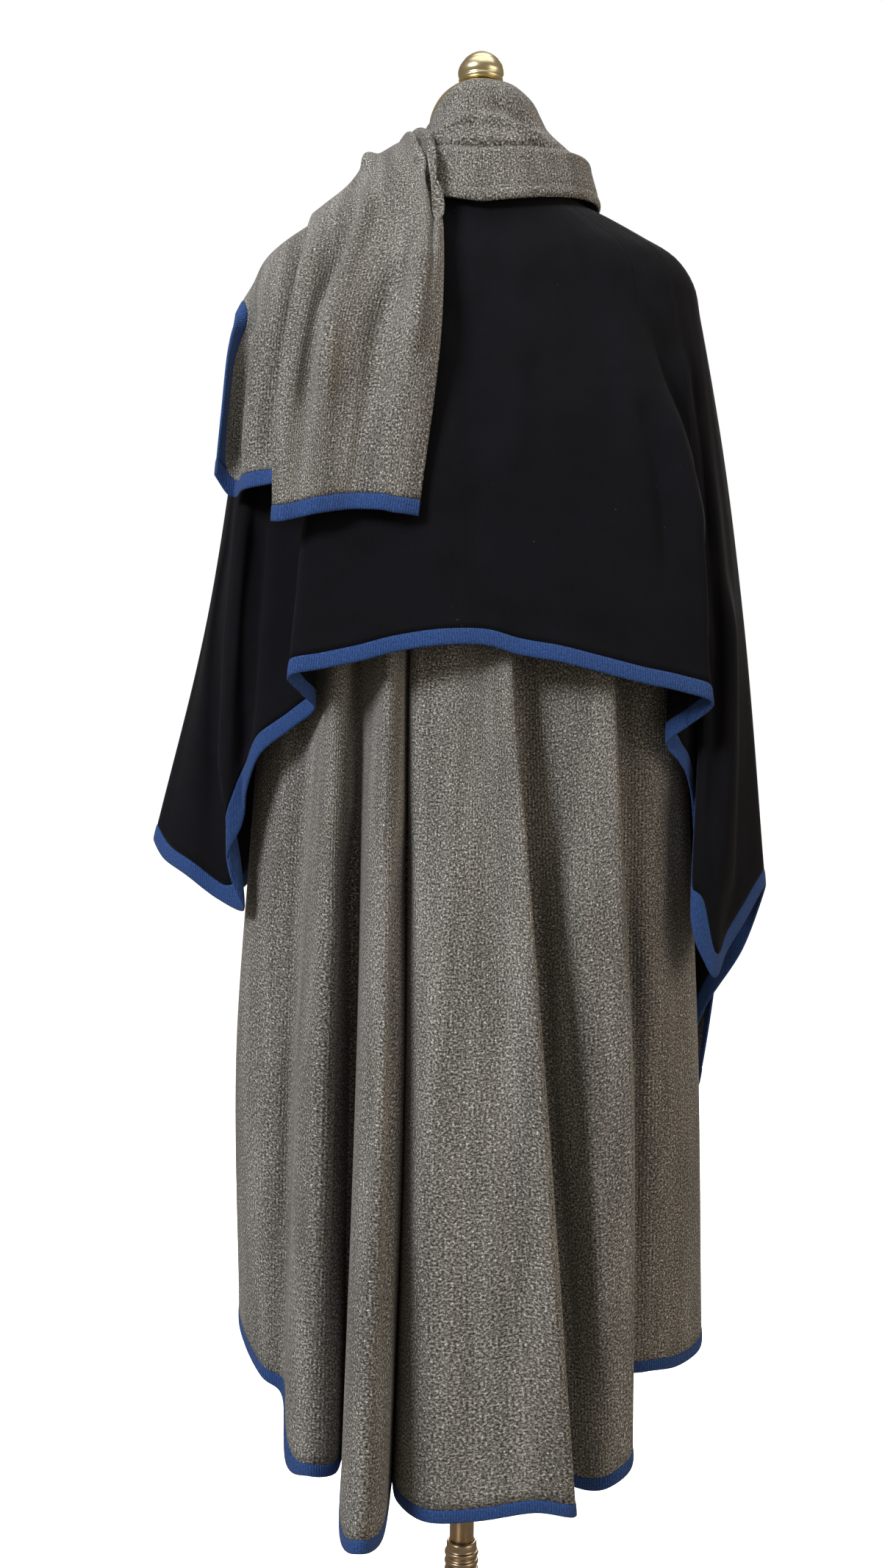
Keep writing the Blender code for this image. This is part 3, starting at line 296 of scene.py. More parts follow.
# ---- turned brass, radius and height
CAP_FOOT = ((0.0, 1618.3), (51.0, 1618.3))
CAP_DOME = ((52.0, 1619.8), (51.8, 1627.3), (50.2, 1635.3), (47.0, 1643.3), (42.5, 1650.8),
            (36.5, 1657.3), (29.0, 1662.8), (21.5, 1666.5), (17.0, 1668.3))
CAP_TOP = ((0.0, 1668.3),)
FINIAL_SEAT = ((0.0, 1668.6),)
FINIAL_FOOT = ((16.0, 1668.6), (20.4, 1669.4), (22.0, 1670.6), (22.7, 1672.2), (22.3, 1673.8),
               (21.6, 1674.6))
FINIAL_BAND = ((22.6, 1675.6), (23.4, 1678.0), (23.5, 1680.5), (22.6, 1684.2), (21.0, 1687.4),
               (19.6, 1689.4), (19.0, 1689.9))
FINIAL_DOME = ((18.6, 1690.6), (17.7, 1692.0), (14.8, 1694.8), (10.5, 1697.8), (5.5, 1700.1),
               (0.0, 1701.0))
POLE = ((0.0, 96.0), (11.2, 96.0), (12.2, 97.0), (12.2, 879.7), (0.0, 879.7))
TUBE = ((12.7, 40.3), (15.0, 40.3), (15.0, 150.0), (12.7, 150.0))
LOCK_FOOT = ((12.7, 150.3), (14.6, 150.3), (15.0, 150.7))
LOCK_TOP = ((15.2, 199.0), (15.0, 203.5), (14.2, 205.6), (12.7, 206.0))
# the lock collar's rings: heights of their middles, radius between them, bulge, half height,
# steps from one side of a ring to the other, and the power that squares its bulge
LOCK_RINGS = (160.0, 168.5, 177.0, 185.5, 194.0)
RING_NECK, RING_BULGE, RING_HALF, RING_STEPS, RING_SQUARE = 15.0, 2.0, 2.6, 12, 0.7
BASE_FOOT = ((0.0, 0.0), (168.0, 0.0), (169.4, 0.6), (170.0, 2.0), (170.0, 12.0), (169.0, 13.6))
BASE_SLOPE = ((167.0, 14.0), (150.0, 17.0), (120.0, 24.0), (80.0, 31.0), (45.0, 38.0),
              (32.0, 43.0), (26.2, 50.0), (26.0, 58.0))
BASE_SOCKET = ((25.6, 60.6), (24.0, 62.0), (15.3, 62.0), (15.3, 40.0), (0.0, 40.0))

# ---- creases
# name, side of the body, half width, rise (below 0 for a trough), then its path as (x, z)
# points seen square on
BACK, TOP, FRONT = -1, 0, 1
CREST_FOLD = ("fold over the crest", TOP, 5, 7, (-104, 1612), (-109, 1598), (-111, 1560))
CREASES = {
    "long cape": (
        ("left back fold, inner slope", BACK, 11, 4, (-176, 980), (-178, 760), (-186, 520)),
        ("ripple in the first valley", BACK, 9, 4, (-132, 900), (-136, 720), (-141, 500)),
        ("groove down the second fold", BACK, 8, -4,
         (-78, 1030), (-84, 820), (-92, 640), (-96, 500)),
        ("soft roll down the broad fold", BACK, 9, 4,
         (-14, 940), (-2, 820), (7, 718), (14, 590), (26, 440)),
        ("slack right of that roll", BACK, 12, -4.5,
         (12, 970), (22, 840), (31, 718), (40, 590), (54, 440)),
        ("valley between the left folds", BACK, 6, -11,
         (-114, 960), (-117, 783), (-119, 590), (-122, 400)),
        ("valley beside the broad fold", BACK, 6, -9,
         (-63, 960), (-66, 783), (-68, 590), (-71, 400)),
        ("drop right of the broad fold", BACK, 8, -9,
         (56, 920), (63, 847), (72, 718), (81, 590), (94, 461), (101, 380)),
        ("roll of the next fold", BACK, 13, 9,
         (92, 940), (99, 847), (111, 718), (118, 590), (126, 461), (131, 380)),
        ("slack beside the arm fold", BACK, 9, -6,
         (146, 920), (150, 847), (160, 718), (163, 590), (166, 440)),
        ("drag under the right arm", BACK, 10, -5, (190, 1000), (200, 860), (210, 640)),
        ("front fold, left", FRONT, 10, 4.5, (-110, 1240), (-126, 960), (-138, 700)),
        ("front trough, left", FRONT, 11, -4, (-60, 1180), (-66, 900), (-72, 620)),
        ("front trough, right", FRONT, 12, -4, (70, 1200), (80, 940), (84, 680)),
        ("front fold, right", FRONT, 10, 4.5, (96, 1220), (112, 980), (120, 640)),
    ),
    "over-cape": (
        ("left fall, outer trough", BACK, 9, -4.5,
         (-238, 1250), (-246, 1136), (-252, 1011), (-250, 910)),
        ("left ridge by the wrap", BACK, 9, 8,
         (-220, 1262), (-226, 1150), (-234, 1020), (-237, 920)),
        ("valley beside it", BACK, 8, -8, (-205, 1240), (-210, 1138), (-216, 1036), (-224, 960)),
        ("right shoulder fold, outer", BACK, 8, 7.5, (190, 1400), (200, 1300), (208, 1180)),
        ("right shoulder trough", BACK, 7, -6, (206, 1390), (218, 1290), (224, 1160)),
        ("right shoulder fold, inner", BACK, 8, 8.5,
         (168, 1350), (184, 1284), (198, 1200), (226, 1070)),
        ("trough inside that fold", BACK, 8, -6, (148, 1340), (166, 1260), (178, 1150)),
        ("drag from the collar, centre", BACK, 13, 4.5, (30, 1500), (36, 1380), (34, 1230)),
        ("long soft trough, centre", BACK, 14, -5, (-18, 1430), (-8, 1300), (2, 1160)),
        ("drag from the collar, right", BACK, 12, -3.5, (92, 1490), (116, 1380), (128, 1240)),
        ("edge of the right fall", BACK, 8, 7, (241, 1180), (246, 1000), (245, 830)),
        ("trough by the right fall's edge", BACK, 9, -6, (226, 1200), (230, 1040), (228, 900)),
        ("front drape, left", FRONT, 11, 5, (-150, 1240), (-176, 1120), (-200, 980)),
        ("front drape, right", FRONT, 11, 5, (120, 1260), (136, 1120), (148, 960)),
        ("front trough, right", FRONT, 10, -4.5, (160, 1240), (184, 1100), (196, 900)),
    ),
    "wrap front": (
        ("pull to the shoulder, upper", FRONT, 10, 5, (60, 1420), (-40, 1470), (-120, 1520)),
        ("pull to the shoulder, middle", FRONT, 12, -5, (120, 1300), (10, 1370), (-110, 1450)),
        ("pull to the shoulder, lower", FRONT, 12, 5, (170, 1160), (40, 1230), (-120, 1370)),
        CREST_FOLD,
        ("hanging fold, right", FRONT, 11, 4.5, (200, 1240), (214, 1040), (220, 820)),
    ),
    "wrap under": (
        ("hollow beside the braid", BACK, 9, -14, (-224, 1440), (-228, 1350), (-233, 1245)),
        ("hollow beside the tail", BACK, 8, -8,
         (-158, 1500), (-178, 1412), (-188, 1350), (-194, 1300), (-197, 1225)),
        ("ridge between hollow and tail", BACK, 8, 5.5, (-207, 1411), (-213, 1326), (-218, 1250)),
    ),
    "wrap tail": (
        CREST_FOLD,
        ("long ridge from the shoulder", BACK, 8, 8,
         (-107, 1555), (-106, 1521), (-123, 1458), (-138, 1403), (-141, 1346), (-137, 1296)),
        ("valley left of it", BACK, 8, -7,
         (-118, 1560), (-119, 1512), (-131, 1458), (-149, 1409), (-156, 1345), (-165, 1270)),
        ("tail's edge, rolled out", BACK, 9, 8,
         (-150, 1500), (-172, 1412), (-182, 1350), (-188, 1300), (-192, 1205)),
        ("slit between the gathers", BACK, 3.2, -9,
         (-62, 1592), (-58, 1559), (-47, 1530), (-40, 1486)),
        ("second slit", BACK, 3, -7, (-49, 1588), (-41, 1540), (-37, 1496)),
        ("ridge near the neck", BACK, 8, 7, (-55, 1474), (-58, 1417), (-61, 1350)),
        ("broad valley", BACK, 13, -7.5, (-70, 1456), (-92, 1388), (-95, 1296)),
        ("shallow roll by the hem", BACK, 9, 3, (-112, 1330), (-120, 1270), (-126, 1226)),
    ),
    "collar": (
        ("fall behind the band", BACK, 4.5, -6,
         (-74, 1594), (-43, 1586), (0, 1580), (26, 1582), (62, 1587), (96, 1593)),
        ("fold from the tail", BACK, 5, 5.5, (-54, 1594), (-43, 1597), (-19, 1609), (-2, 1612)),
        ("fold to the right shoulder", BACK, 5.5, 5,
         (-8, 1613), (26, 1606), (44, 1600), (62, 1594)),
        ("slack over that fold", BACK, 6, -4.5, (4, 1628), (26, 1621), (44, 1611), (60, 1602)),
        ("slack by the neck cap", BACK, 6, -2.5, (-40, 1622), (-27, 1634), (-12, 1640)),
    ),
}
SIDE_FADE = 3.0          # how soon a crease fades where the cloth turns away from its side
END_FADE = 5.0           # how soon it fades at its ends: over a fifth of its length

# ---- room and camera, in metres
FLOOR_REACH = 60.0
FLOOR_LIGHT, FLOOR_SPREAD = 3.1, 50.0     # strength and degrees of the floor's own light
ROOM_GLOW = "#898074"    # the surroundings' warm glow on the garment
# name, place, point it is aimed at, size, power in watts, colour
LIGHTS = (
    ("key", (-3.6, -3.7, 3.9), (0.0, 0.0, 0.8), 1.8, 262.0, "#fafcff"),
    ("fill", (2.8, -1.8, 1.3), (0.0, 0.0, 0.9), 2.0, 30.0, "#f8ead9"),
    ("top", (0.2, -0.3, 4.0), (0.0, 0.0, 0.0), 2.5, 30.0, "#ffffff"),
    ("behind", (0.8, 3.2, 2.4), (0.0, 0.0, 1.0), 2.0, 70.0, "#ffffff"),
)
CAMERA_PLACE = (-0.031, -1.66, 0.965)
CAMERA_ROLL = -0.0135    # radians
LENS, SENSOR = 37.9, 36.0     # millimetres


# ---- curves and surfaces
def unit(vectors):
    """Vectors brought to length one."""
    return vectors / np.linalg.norm(vectors, axis=-1, keepdims=True)


def lengths_along(points):
    """Distance from the first of a line's points to each of them."""
    return np.concatenate([[0.0], np.cumsum(np.linalg.norm(np.diff(points, axis=0), axis=1))])


def through(knots, keys, at):
    """Smooth curve through keys placed at uneven knots, read at the places in at."""
    knots, keys, at = np.asarray(knots, float), np.asarray(keys, float), np.asarray(at, float)
    spread = (-1,) + (1,) * (keys.ndim - 1)
    gap = np.diff(knots)
    step = np.diff(keys, axis=0) / gap.reshape(spread)
    slope = np.empty_like(keys)
    slope[0], slope[-1] = step[0], step[-1]
    before, after = gap[:-1].reshape(spread), gap[1:].reshape(spread)
    slope[1:-1] = (step[:-1] * after + step[1:] * before) / (before + after)
    low = np.clip(np.searchsorted(knots, at, side="right") - 1, 0, len(knots) - 2)
    width = gap[low].reshape(spread)
    part = ((at - knots[low]) / gap[low]).reshape(spread)
    square, cube = part ** 2, part ** 3
    return (
        keys[low] * (2 * cube - 3 * square + 1)
        + slope[low] * width * (cube - 2 * square + part)
        + keys[low + 1] * (3 * square - 2 * cube)
        + slope[low + 1] * width * (cube - square)
    )


def run_along(points, axis):
    """Distance along a grid's lines at each of its points."""
    step = np.linalg.norm(np.diff(points, axis=axis), axis=2)
    start = np.zeros_like(np.take(step, [0], axis=axis))
    return np.concatenate([start, np.cumsum(step, axis=axis)], axis=axis)


def read_rows(points, run, where):
    """Each row of points read at its own distances."""
    picked = np.empty(where.shape + (3,))
    for row in range(len(points)):
        for axis in range(3):
            picked[row, :, axis] = np.interp(where[row], run[row], points[row, :, axis])
    return picked


def line_down(keys):
    """Dense curve through the keys of one column, from the top to the hem."""
    knots = lengths_along(keys)
    at = [np.linspace(a, b, SPAN_POINTS, endpoint=False) for a, b in zip(knots[:-1], knots[1:])]
    return through(knots, keys, np.concatenate(at + [[knots[-1]]]))


def hem_cuts(lines, run, reach, width, ease=3):
    """How far up each line a braid square to the hem reaches, evened out ease lines each way."""
    hem = lines[:, -1]
    cuts = []
    for place, line in enumerate(lines):
        near = hem[max(0, place - reach):place + reach + 1]
        gap = np.linalg.norm(line[:, None] - near[None], axis=2).min(axis=1)
        inside = np.nonzero(gap >= width)[0][-1]
        part = (gap[inside] - width) / max(gap[inside] - gap[inside + 1], 1e-9)
        cuts.append(run[place, -1] - run[place, inside]
                    - part * (run[place, inside + 1] - run[place, inside]))
    window = 2 * ease + 1
    soft = np.convolve(np.pad(cuts, ease, mode="edge"), np.full(window, 1.0 / window), "valid")
    return np.maximum(soft, width)


def surface(columns, down, across=ACROSS, width=OVER_BRAID):
    """Fine grid of a sheet through columns of keys: cloth rows, then the rows of its braid."""
    last = len(columns) - 1
    fine = np.linspace(0.0, last, last * across + 1)
    keys = through(np.arange(last + 1), columns, fine)
    lines = np.asarray([line_down(line) for line in keys])
    run = run_along(lines, 1)
    cut = hem_cuts(lines, run, 3 * across, width)
    end = run[:, -1:] - cut[:, None]
    cloth = (end - SEAM) * np.linspace(0.0, 1.0, down)
    braid = end + cut[:, None] * BRAID_STEPS
    grid = read_rows(lines, run, np.concatenate([cloth, braid], axis=1))
    return grid.transpose(1, 0, 2)


def normals_of(grid, closed=False):
    """Unit normals of a grid of points, facing away from the body."""
    if closed:
        across = np.roll(grid, -1, axis=1) - np.roll(grid, 1, axis=1)
    else:
        across = np.gradient(grid, axis=1)
    normal = np.cross(np.gradient(grid, axis=0), across)
    return normal / np.maximum(np.linalg.norm(normal, axis=2, keepdims=True), 1e-9)


def creased(grid, layer, closed=False):
    """The grid pushed in or out along the soft troughs and ridges of its layer."""
    normals = normals_of(grid, closed)
    flat = grid[..., (0, 2)]
    moved = grid.copy()
    for _, side, half_width, rise, *path in CREASES[layer]:
        path = np.asarray(path, float)
        facing = side * normals[..., 1] if side else normals[..., 2]
        near = np.full(grid.shape[:2], 1e9)
        along = np.zeros(grid.shape[:2])
        start = lengths_along(path)
        for number, (low, high) in enumerate(zip(path[:-1], path[1:])):
            way = high - low
            share = np.clip(((flat - low) @ way) / (way @ way), 0.0, 1.0)
            gap = np.linalg.norm(flat - low - share[..., None] * way, axis=2)
            closer = gap < near
            near = np.where(closer, gap, near)
            here = start[number] + share * np.linalg.norm(way)
            along = np.where(closer, here, along)
        along = along / start[-1]
        taper = np.clip(np.minimum(along, 1.0 - along) * END_FADE, 0.0, 1.0)
        taper = taper * taper * (3.0 - 2.0 * taper)
        inside = np.clip(facing * SIDE_FADE, 0.0, 1.0)
        swell = rise * np.exp(-(near / half_width) ** 2) * taper * inside
        moved += normals * swell[..., None]
    return moved


# ---- pieces
def placed(name, data):
    """A new object in the scene."""
    made = bpy.data.objects.new(name, data)
    bpy.context.collection.objects.link(made)
    return made


def piece(name, points, faces, body, node, slot, uv=None):
    """One smooth mesh object from points in millimetres, riding on its body for its CAD node."""
    mesh = bpy.data.meshes.new(name)
    mesh.from_pydata((np.asarray(points) * MM).tolist(), [], faces)
    if uv is not None:
        layer = mesh.uv_layers.new(name="cloth")
        layer.data.foreach_set("uv", (uv * MM).ravel())
    mesh.shade_smooth()
    mesh.materials.append(finishes[slot])
    made = placed(name, mesh)
    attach(made, body)
    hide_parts(node)


def walls(grid, normals, half, closed=False):
    """Points, faces and corner coordinates of a wall half mm to each side of a grid."""
    if closed:
        grid = np.concatenate([grid, grid[:, :1]], axis=1)
        normals = np.concatenate([normals, normals[:, :1]], axis=1)
    rows, columns = grid.shape[:2]
    far = rows * columns
    push = normals * np.broadcast_to(half, (rows, columns))[..., None]
    points = np.concatenate([(grid + push).reshape(-1, 3), (grid - push).reshape(-1, 3)])
    index = np.arange(far).reshape(rows, columns)
    a, b = index[:-1, :-1].ravel(), index[:-1, 1:].ravel()
    c, d = index[1:, 1:].ravel(), index[1:, :-1].ravel()
    faces = [np.stack([d, c, b, a], axis=1), np.stack([a, b, c, d], axis=1) + far]
    borders = [index[0], index[-1, ::-1]]
    if not closed:
        borders += [index[::-1, 0], index[:, -1]]
    for line in borders:
        faces.append(np.stack([line[:-1], line[1:], line[1:] + far, line[:-1] + far], axis=1))
    faces = np.concatenate(faces)
    u = np.broadcast_to(run_along(grid, 1).mean(axis=0), (rows, columns))
    v = np.broadcast_to(-run_along(grid, 0).mean(axis=1)[:, None], (rows, columns))
    uv = np.tile(np.stack([u, v], axis=2).reshape(-1, 2), (2, 1))[faces]
    if closed:
        same = np.arange(2 * far).reshape(2, rows, columns)
        same[:, :, -1] = same[:, :, 0]
        used, joined = np.unique(same.ravel()[faces], return_inverse=True)
        points, faces = points[used], joined.reshape(faces.shape)
    return points, faces, uv


def knit(node, grid, normals, slot="grey_knit", half=0.5 * KNIT, closed=False):
    """A panel of cloth on a block of the layer's grid."""
    points, faces, uv = walls(grid, normals, half, closed)
    piece(node + "_cloth", points, faces.tolist(), "form", node, slot, uv)


def braid_strip(node, grid, normals, along):
    """A rounded strip of braid; along is the grid's axis that runs with the edge."""
    half = 0.5 * BRAID * BRAID_ROUND
    points, faces, uv = walls(grid, normals, half[:, None] if along == 1 else half[None, :])
    if along == 0:
        uv = uv[..., ::-1]
    piece(node + "_strip", points, faces.tolist(), "form", node, "blue_braid", uv)


def split_edge(grid, normals, width):
    """A block with a free first column, parted into its edge braid and the cloth beside it.

    Each part comes back as its grid and its normals.
    """
    run = run_along(grid, 1)
    start = width + SEAM
    both = np.concatenate([grid, normals], axis=0)
    runs = np.concatenate([run, run], axis=0)
    edge = runs[:, :1] + width * BRAID_STEPS
    rest = start + runs * (runs[:, -1:] - start) / runs[:, -1:]
    braid, cloth = read_rows(both, runs, edge), read_rows(both, runs, rest)
    count = len(grid)
    return braid[:count], unit(braid[count:]), cloth[:count], unit(cloth[count:])


def parted(grid, at_start, at_end):
    """The block with its first or last column drawn in by half a seam."""
    block = grid.copy()
    for wanted, column, inner in ((at_start, 0, 1), (at_end, -1, -2)):
        if wanted:
            step = block[:, inner] - block[:, column]
            block[:, column] += unit(step) * 0.5 * SEAM
    return block


def dress_layer(nodes, grid, seams, slot, edges=(True, True), width=OVER_BRAID):
    """Every panel and braid of one layer, cut from the layer's fine grid."""
    normals = normals_of(grid)
    hem = len(grid) - len(BRAID_STEPS)
    cuts = [0] + list(seams) + [grid.shape[1] - 1]
    for number, node in enumerate(nodes):
        first, after = cuts[number], cuts[number + 1] + 1
        is_first, is_last = number == 0, number == len(nodes) - 1
        block = parted(grid[:, first:after], not is_first, not is_last)
        facing = normals[:, first:after]
        braid_strip(node + "_hem_braid", block[hem:], facing[hem:], 1)
        cloth, facing = block[:hem], facing[:hem]
        if is_first and edges[0]:
            edge, edge_facing, cloth, facing = split_edge(cloth, facing, width)
            braid_strip(node + "_edge_braid", edge, edge_facing, 0)
        if is_last and edges[1]:
            edge, edge_facing, cloth, facing = [
                part[:, ::-1] for part in split_edge(cloth[:, ::-1], facing[:, ::-1], width)]
            braid_strip(node + "_edge_braid", edge, edge_facing, 0)
        knit(node, cloth, facing, slot)


# ---- the cape's layers
def read_table(table, height):
    """The columns after the first of a table by height, read at a height or at several."""
    table = np.asarray(table)
    return through(table[:, 0], table[:, 1:], height)


def form_section(height):
    """Half width, depth to the back and depth to the front of the form at a height."""
    return read_table(FORM_SECTIONS, [height])[0]


def on_form(bearing, height):
    """Point on the form's surface."""
    half_width, back, front = form_section(height)
    turn, power = math.radians(bearing), 2.0 / FORM_SQUARENESS
    east, north = math.cos(turn), math.sin(turn)
    depth = front if north > 0.0 else back
    return np.array((math.copysign(half_width * abs(east) ** power, east),
                     math.copysign(depth * abs(north) ** power, north), height))


def off_form(bearing, height, out):
    """Point out mm outside the form, square to its surface."""
    round_it = on_form(bearing + 1.0, height) - on_form(bearing - 1.0, height)
    up_it = on_form(bearing, height + 2.0) - on_form(bearing, height - 2.0)
    return on_form(bearing, height) + unit(np.cross(round_it, up_it)) * out


def clear_of_form(x, y, height, out):
    """The point, pushed straight out where it would be nearer the form than out mm."""
    half_width, back, front = form_section(height) + out
    depth = front if y > 0.0 else back
    share = (abs(x) / half_width) ** FORM_SQUARENESS + (abs(y) / depth) ** FORM_SQUARENESS
    grow = max(1.0, share ** (-1.0 / FORM_SQUARENESS))
    return np.array((x * grow, y * grow, height))


def seams_at(table, *names):
    """Fine columns at the named rows of a table."""
    return [ACROSS * number for number, row in enumerate(table) if row[0] in names]


def long_cape():
    """The long grey cape: left front, back and right front."""
    columns = []
    for _, bearing, high_x, high_y, mid_x, mid_y, *hem in LONG_CAPE:
        keys = [off_form(bearing, level, GREY_OUT) for level in SHOULDER_LEVELS]
        high, mid = np.array((high_x, high_y, HIGH)), np.array((mid_x, mid_y, MID))
        bust = keys[-1] + (high - keys[-1]) * (keys[-1][2] - BUST) / (keys[-1][2] - HIGH)
        hip = high + (mid - high) * (HIGH - HIP) / (HIGH - MID)
        keys.append(clear_of_form(bust[0], bust[1], BUST, GREY_OUT + BUST_EASE))
        keys += [high, clear_of_form(hip[0], hip[1], HIP, GREY_OUT + HIP_EASE), mid, hem]
        columns.append(keys)
    grid = surface(np.asarray(columns, float), LONG_ROWS, width=LONG_BRAID)
    dress_layer(("long_left_front", "long_back", "long_right_front"), creased(grid, "long cape"),
                seams_at(LONG_CAPE, "left side", "right side front"), "grey_knit",
                width=LONG_BRAID)


def over_cape():
    """The short black over-cape: left side, back and right side."""
    columns = []
    for _, bearing, upper_x, upper_y, lower_x, lower_y, *hem in OVER_CAPE:
        keys = [off_form(bearing, level, BLACK_OUT) for level in SHOULDER_LEVELS]
        keys += [(upper_x, upper_y, UPPER), (lower_x, lower_y, LOWER), hem]
        columns.append(keys)
    grid = surface(np.asarray(columns, float), OVER_ROWS)
    dress_layer(("over_left", "over_back", "over_right"), creased(grid, "over-cape"),
                seams_at(OVER_CAPE, "left pleat", "right pleat"), "black_jersey")


def wrap_front():
    """The wide grey wrap across the chest, gathered on the left shoulder."""
    columns = []
    last = len(WRAP_STATIONS) - 1
    for station, (_, neck_turn, neck, low_turn, low, roll) in enumerate(WRAP_STATIONS):
        gather = (station / last) ** GATHERING
        keys = []
        for share in np.linspace(0.0, 1.0, WRAP_KEYS):
            turn = math.radians(neck_turn + share * (low_turn - neck_turn))
            height = neck + share * (low - neck)
            half_width, depth = read_table(WRAP_SECTIONS, [height])[0]
            for _, place, width, rise in WRAP_FOLDS:
                swell = gather * rise * math.exp(-((share - place) / width) ** 2)
                half_width += FOLD_AT_SIDES * swell
                depth += swell
            rolled = roll * share ** CORNER_ROLL
            keys.append(((half_width - rolled) * math.cos(turn),
                         (depth - rolled) * math.sin(turn), height))
        columns.append(keys)
    grid = surface(np.asarray(columns, float), WRAP_ROWS, WRAP_ACROSS)
    dress_layer(("wrap_front",), creased(grid, "wrap front"), (), "grey_knit", (True, False))


def wrap_back(node, table, layer, open_edge):
    """One of the wrap's two layers behind the left shoulder."""
    columns = []
    for _, crest_x, crest_z, *rest in reversed(table):
        crest = np.array((crest_x, -CREST_GAP, crest_z))
        behind, *lower = np.reshape(rest, (-1, 3))
        columns.append([crest, crest + (behind - crest) * CREST_TURN, behind, *lower])
    grid = surface(np.asarray(columns, float), BACK_ROWS, WRAP_ACROSS)
    dress_layer((node,), creased(grid, layer), (), "grey_knit", (open_edge, False))


def band_edge(bearings, edge, inset=0.0):
    """Points of one edge of the collar band at the given bearings."""
    height, rise, right, left, half_depth = edge
    turns = np.radians(bearings)
    half_width = np.where(np.cos(turns) > 0.0, right, left)
    return np.stack([(half_width - inset) * np.cos(turns), (half_depth - inset) * np.sin(turns),
                     height + rise * np.abs(np.cos(turns)) ** SIDE_RISE], axis=1)


def standing_collar(bearings):
    """The standing collar up the neck; it goes straight down inside the band."""
    waist = band_edge(bearings, BAND_TOP_EDGE, 0.5 * BAND_FOLD + SEAM + 0.5 * KNIT)
    foot = waist - (0.0, 0.0, BAND_TOP_EDGE[0] - STAND_FOOT)
    top = read_table(COLLAR_TOP_EDGE, (bearings + 90.0) % 360.0 - 90.0)[:, 0]
    east, north = np.cos(np.radians(bearings)), np.sin(np.radians(bearings))
    rings = []
    for share in np.linspace(0.0, STAND_SHARE, STAND_RINGS):
        height = top + (waist[:, 2] - top) * share
        right, left, depth = read_table(STAND_PROFILE, height).T
        half_width = np.where(east > 0.0, right, left)
        rings.append(np.stack([half_width * east, depth * north, height], axis=1))
    grid = creased(np.asarray(rings + [waist, foot]), "collar", True)
    half = np.full((len(grid), 1), 0.5 * KNIT)
    half[0] *= EDGE_THIN
    knit("collar_stand", grid, normals_of(grid, True), half=half, closed=True)


def collar_band(bearings):
    """The folded band round the standing collar's foot, lying on the over-cape."""
    high = band_edge(bearings, BAND_TOP_EDGE, -BAND_ROLL)
    low = band_edge(bearings, BAND_BOTTOM_EDGE)
    place, thickness = np.array(BAND_ROWS).T[:, :, None]
    grid = high + (low - high) * place[..., None]
    rest = BLACK_OUT + 0.5 * KNIT + 0.5 * BAND_FOLD + 2.0 * SEAM
    for point in grid.reshape(-1, 3):
        point[:] = clear_of_form(*point, rest)
    knit("collar_band", grid, normals_of(grid, True), half=0.5 * BAND_FOLD * thickness,
         closed=True)


# ---- turned brass
def turned(profile, bored=False):
    """Points and faces of (radius, height) pairs turned round the upright axis."""
    points, faces, rings = [], [], []
    for radius, height in profile:
        start = len(points)
        if radius <= 0.0:
            points.append((0.0, 0.0, height))
            rings.append([start] * (TURNED_SIDES + 1))
            continue
        for side in range(TURNED_SIDES):
            turn = 2.0 * math.pi * side / TURNED_SIDES
            points.append((radius * math.cos(turn), radius * math.sin(turn), height))
        rings.append(list(range(start, start + TURNED_SIDES)) + [start])
    for low, high in zip(rings, rings[1:] + rings[:1] if bored else rings[1:]):
        for side in range(TURNED_SIDES):
            corners = (low[side], low[side + 1], high[side + 1], high[side])
            faces.append(tuple(dict.fromkeys(corners)))
    return points, faces


def brass(name, body, slot, *profile, bored=False):
    """A turned brass piece from the stretches of its profile, for the CAD node of its name."""
    points, faces = turned(sum(map(tuple, profile), ()), bored)
    piece(name + "_turned", points, faces, body, name, slot)


def smooth_line(keys, count):
    """A smooth profile through (radius, height) keys."""
    run = lengths_along(keys)
    return through(run, keys, np.linspace(0.0, run[-1], count)).tolist()


def lock_rings():
    """Profile of the rounded rings turned on the lock collar."""
    line = []
    for middle in LOCK_RINGS:
        for step in range(RING_STEPS + 1):
            turn = math.pi * step / RING_STEPS
            line.append((RING_NECK + RING_BULGE * math.sin(turn) ** RING_SQUARE,
                         middle - RING_HALF * math.cos(turn)))
    return line


def form_and_stand():
    """Neck cap, finial and pole on the form; tube, lock collar and base on the stand."""
    brass("neck_cap", "form", "polished_brass", CAP_FOOT, smooth_line(CAP_DOME, CAP_POINTS),
          CAP_TOP)
    brass("finial", "form", "polished_brass", FINIAL_SEAT, smooth_line(FINIAL_FOOT, FOOT_POINTS),
          smooth_line(FINIAL_BAND, BAND_POINTS), smooth_line(FINIAL_DOME, DOME_POINTS))
    brass("pole", "form", "aged_brass", POLE)
    brass("stand_tube", "stand", "aged_brass", TUBE, bored=True)
    brass("lock_collar", "stand", "aged_brass", LOCK_FOOT, lock_rings(), LOCK_TOP, bored=True)
    brass("base", "stand", "aged_brass", BASE_FOOT, smooth_line(BASE_SLOPE, SLOPE_POINTS),
          BASE_SOCKET)
    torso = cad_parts["form_torso"]
    torso.data.materials.clear()
    torso.data.materials.append(linen_cover())


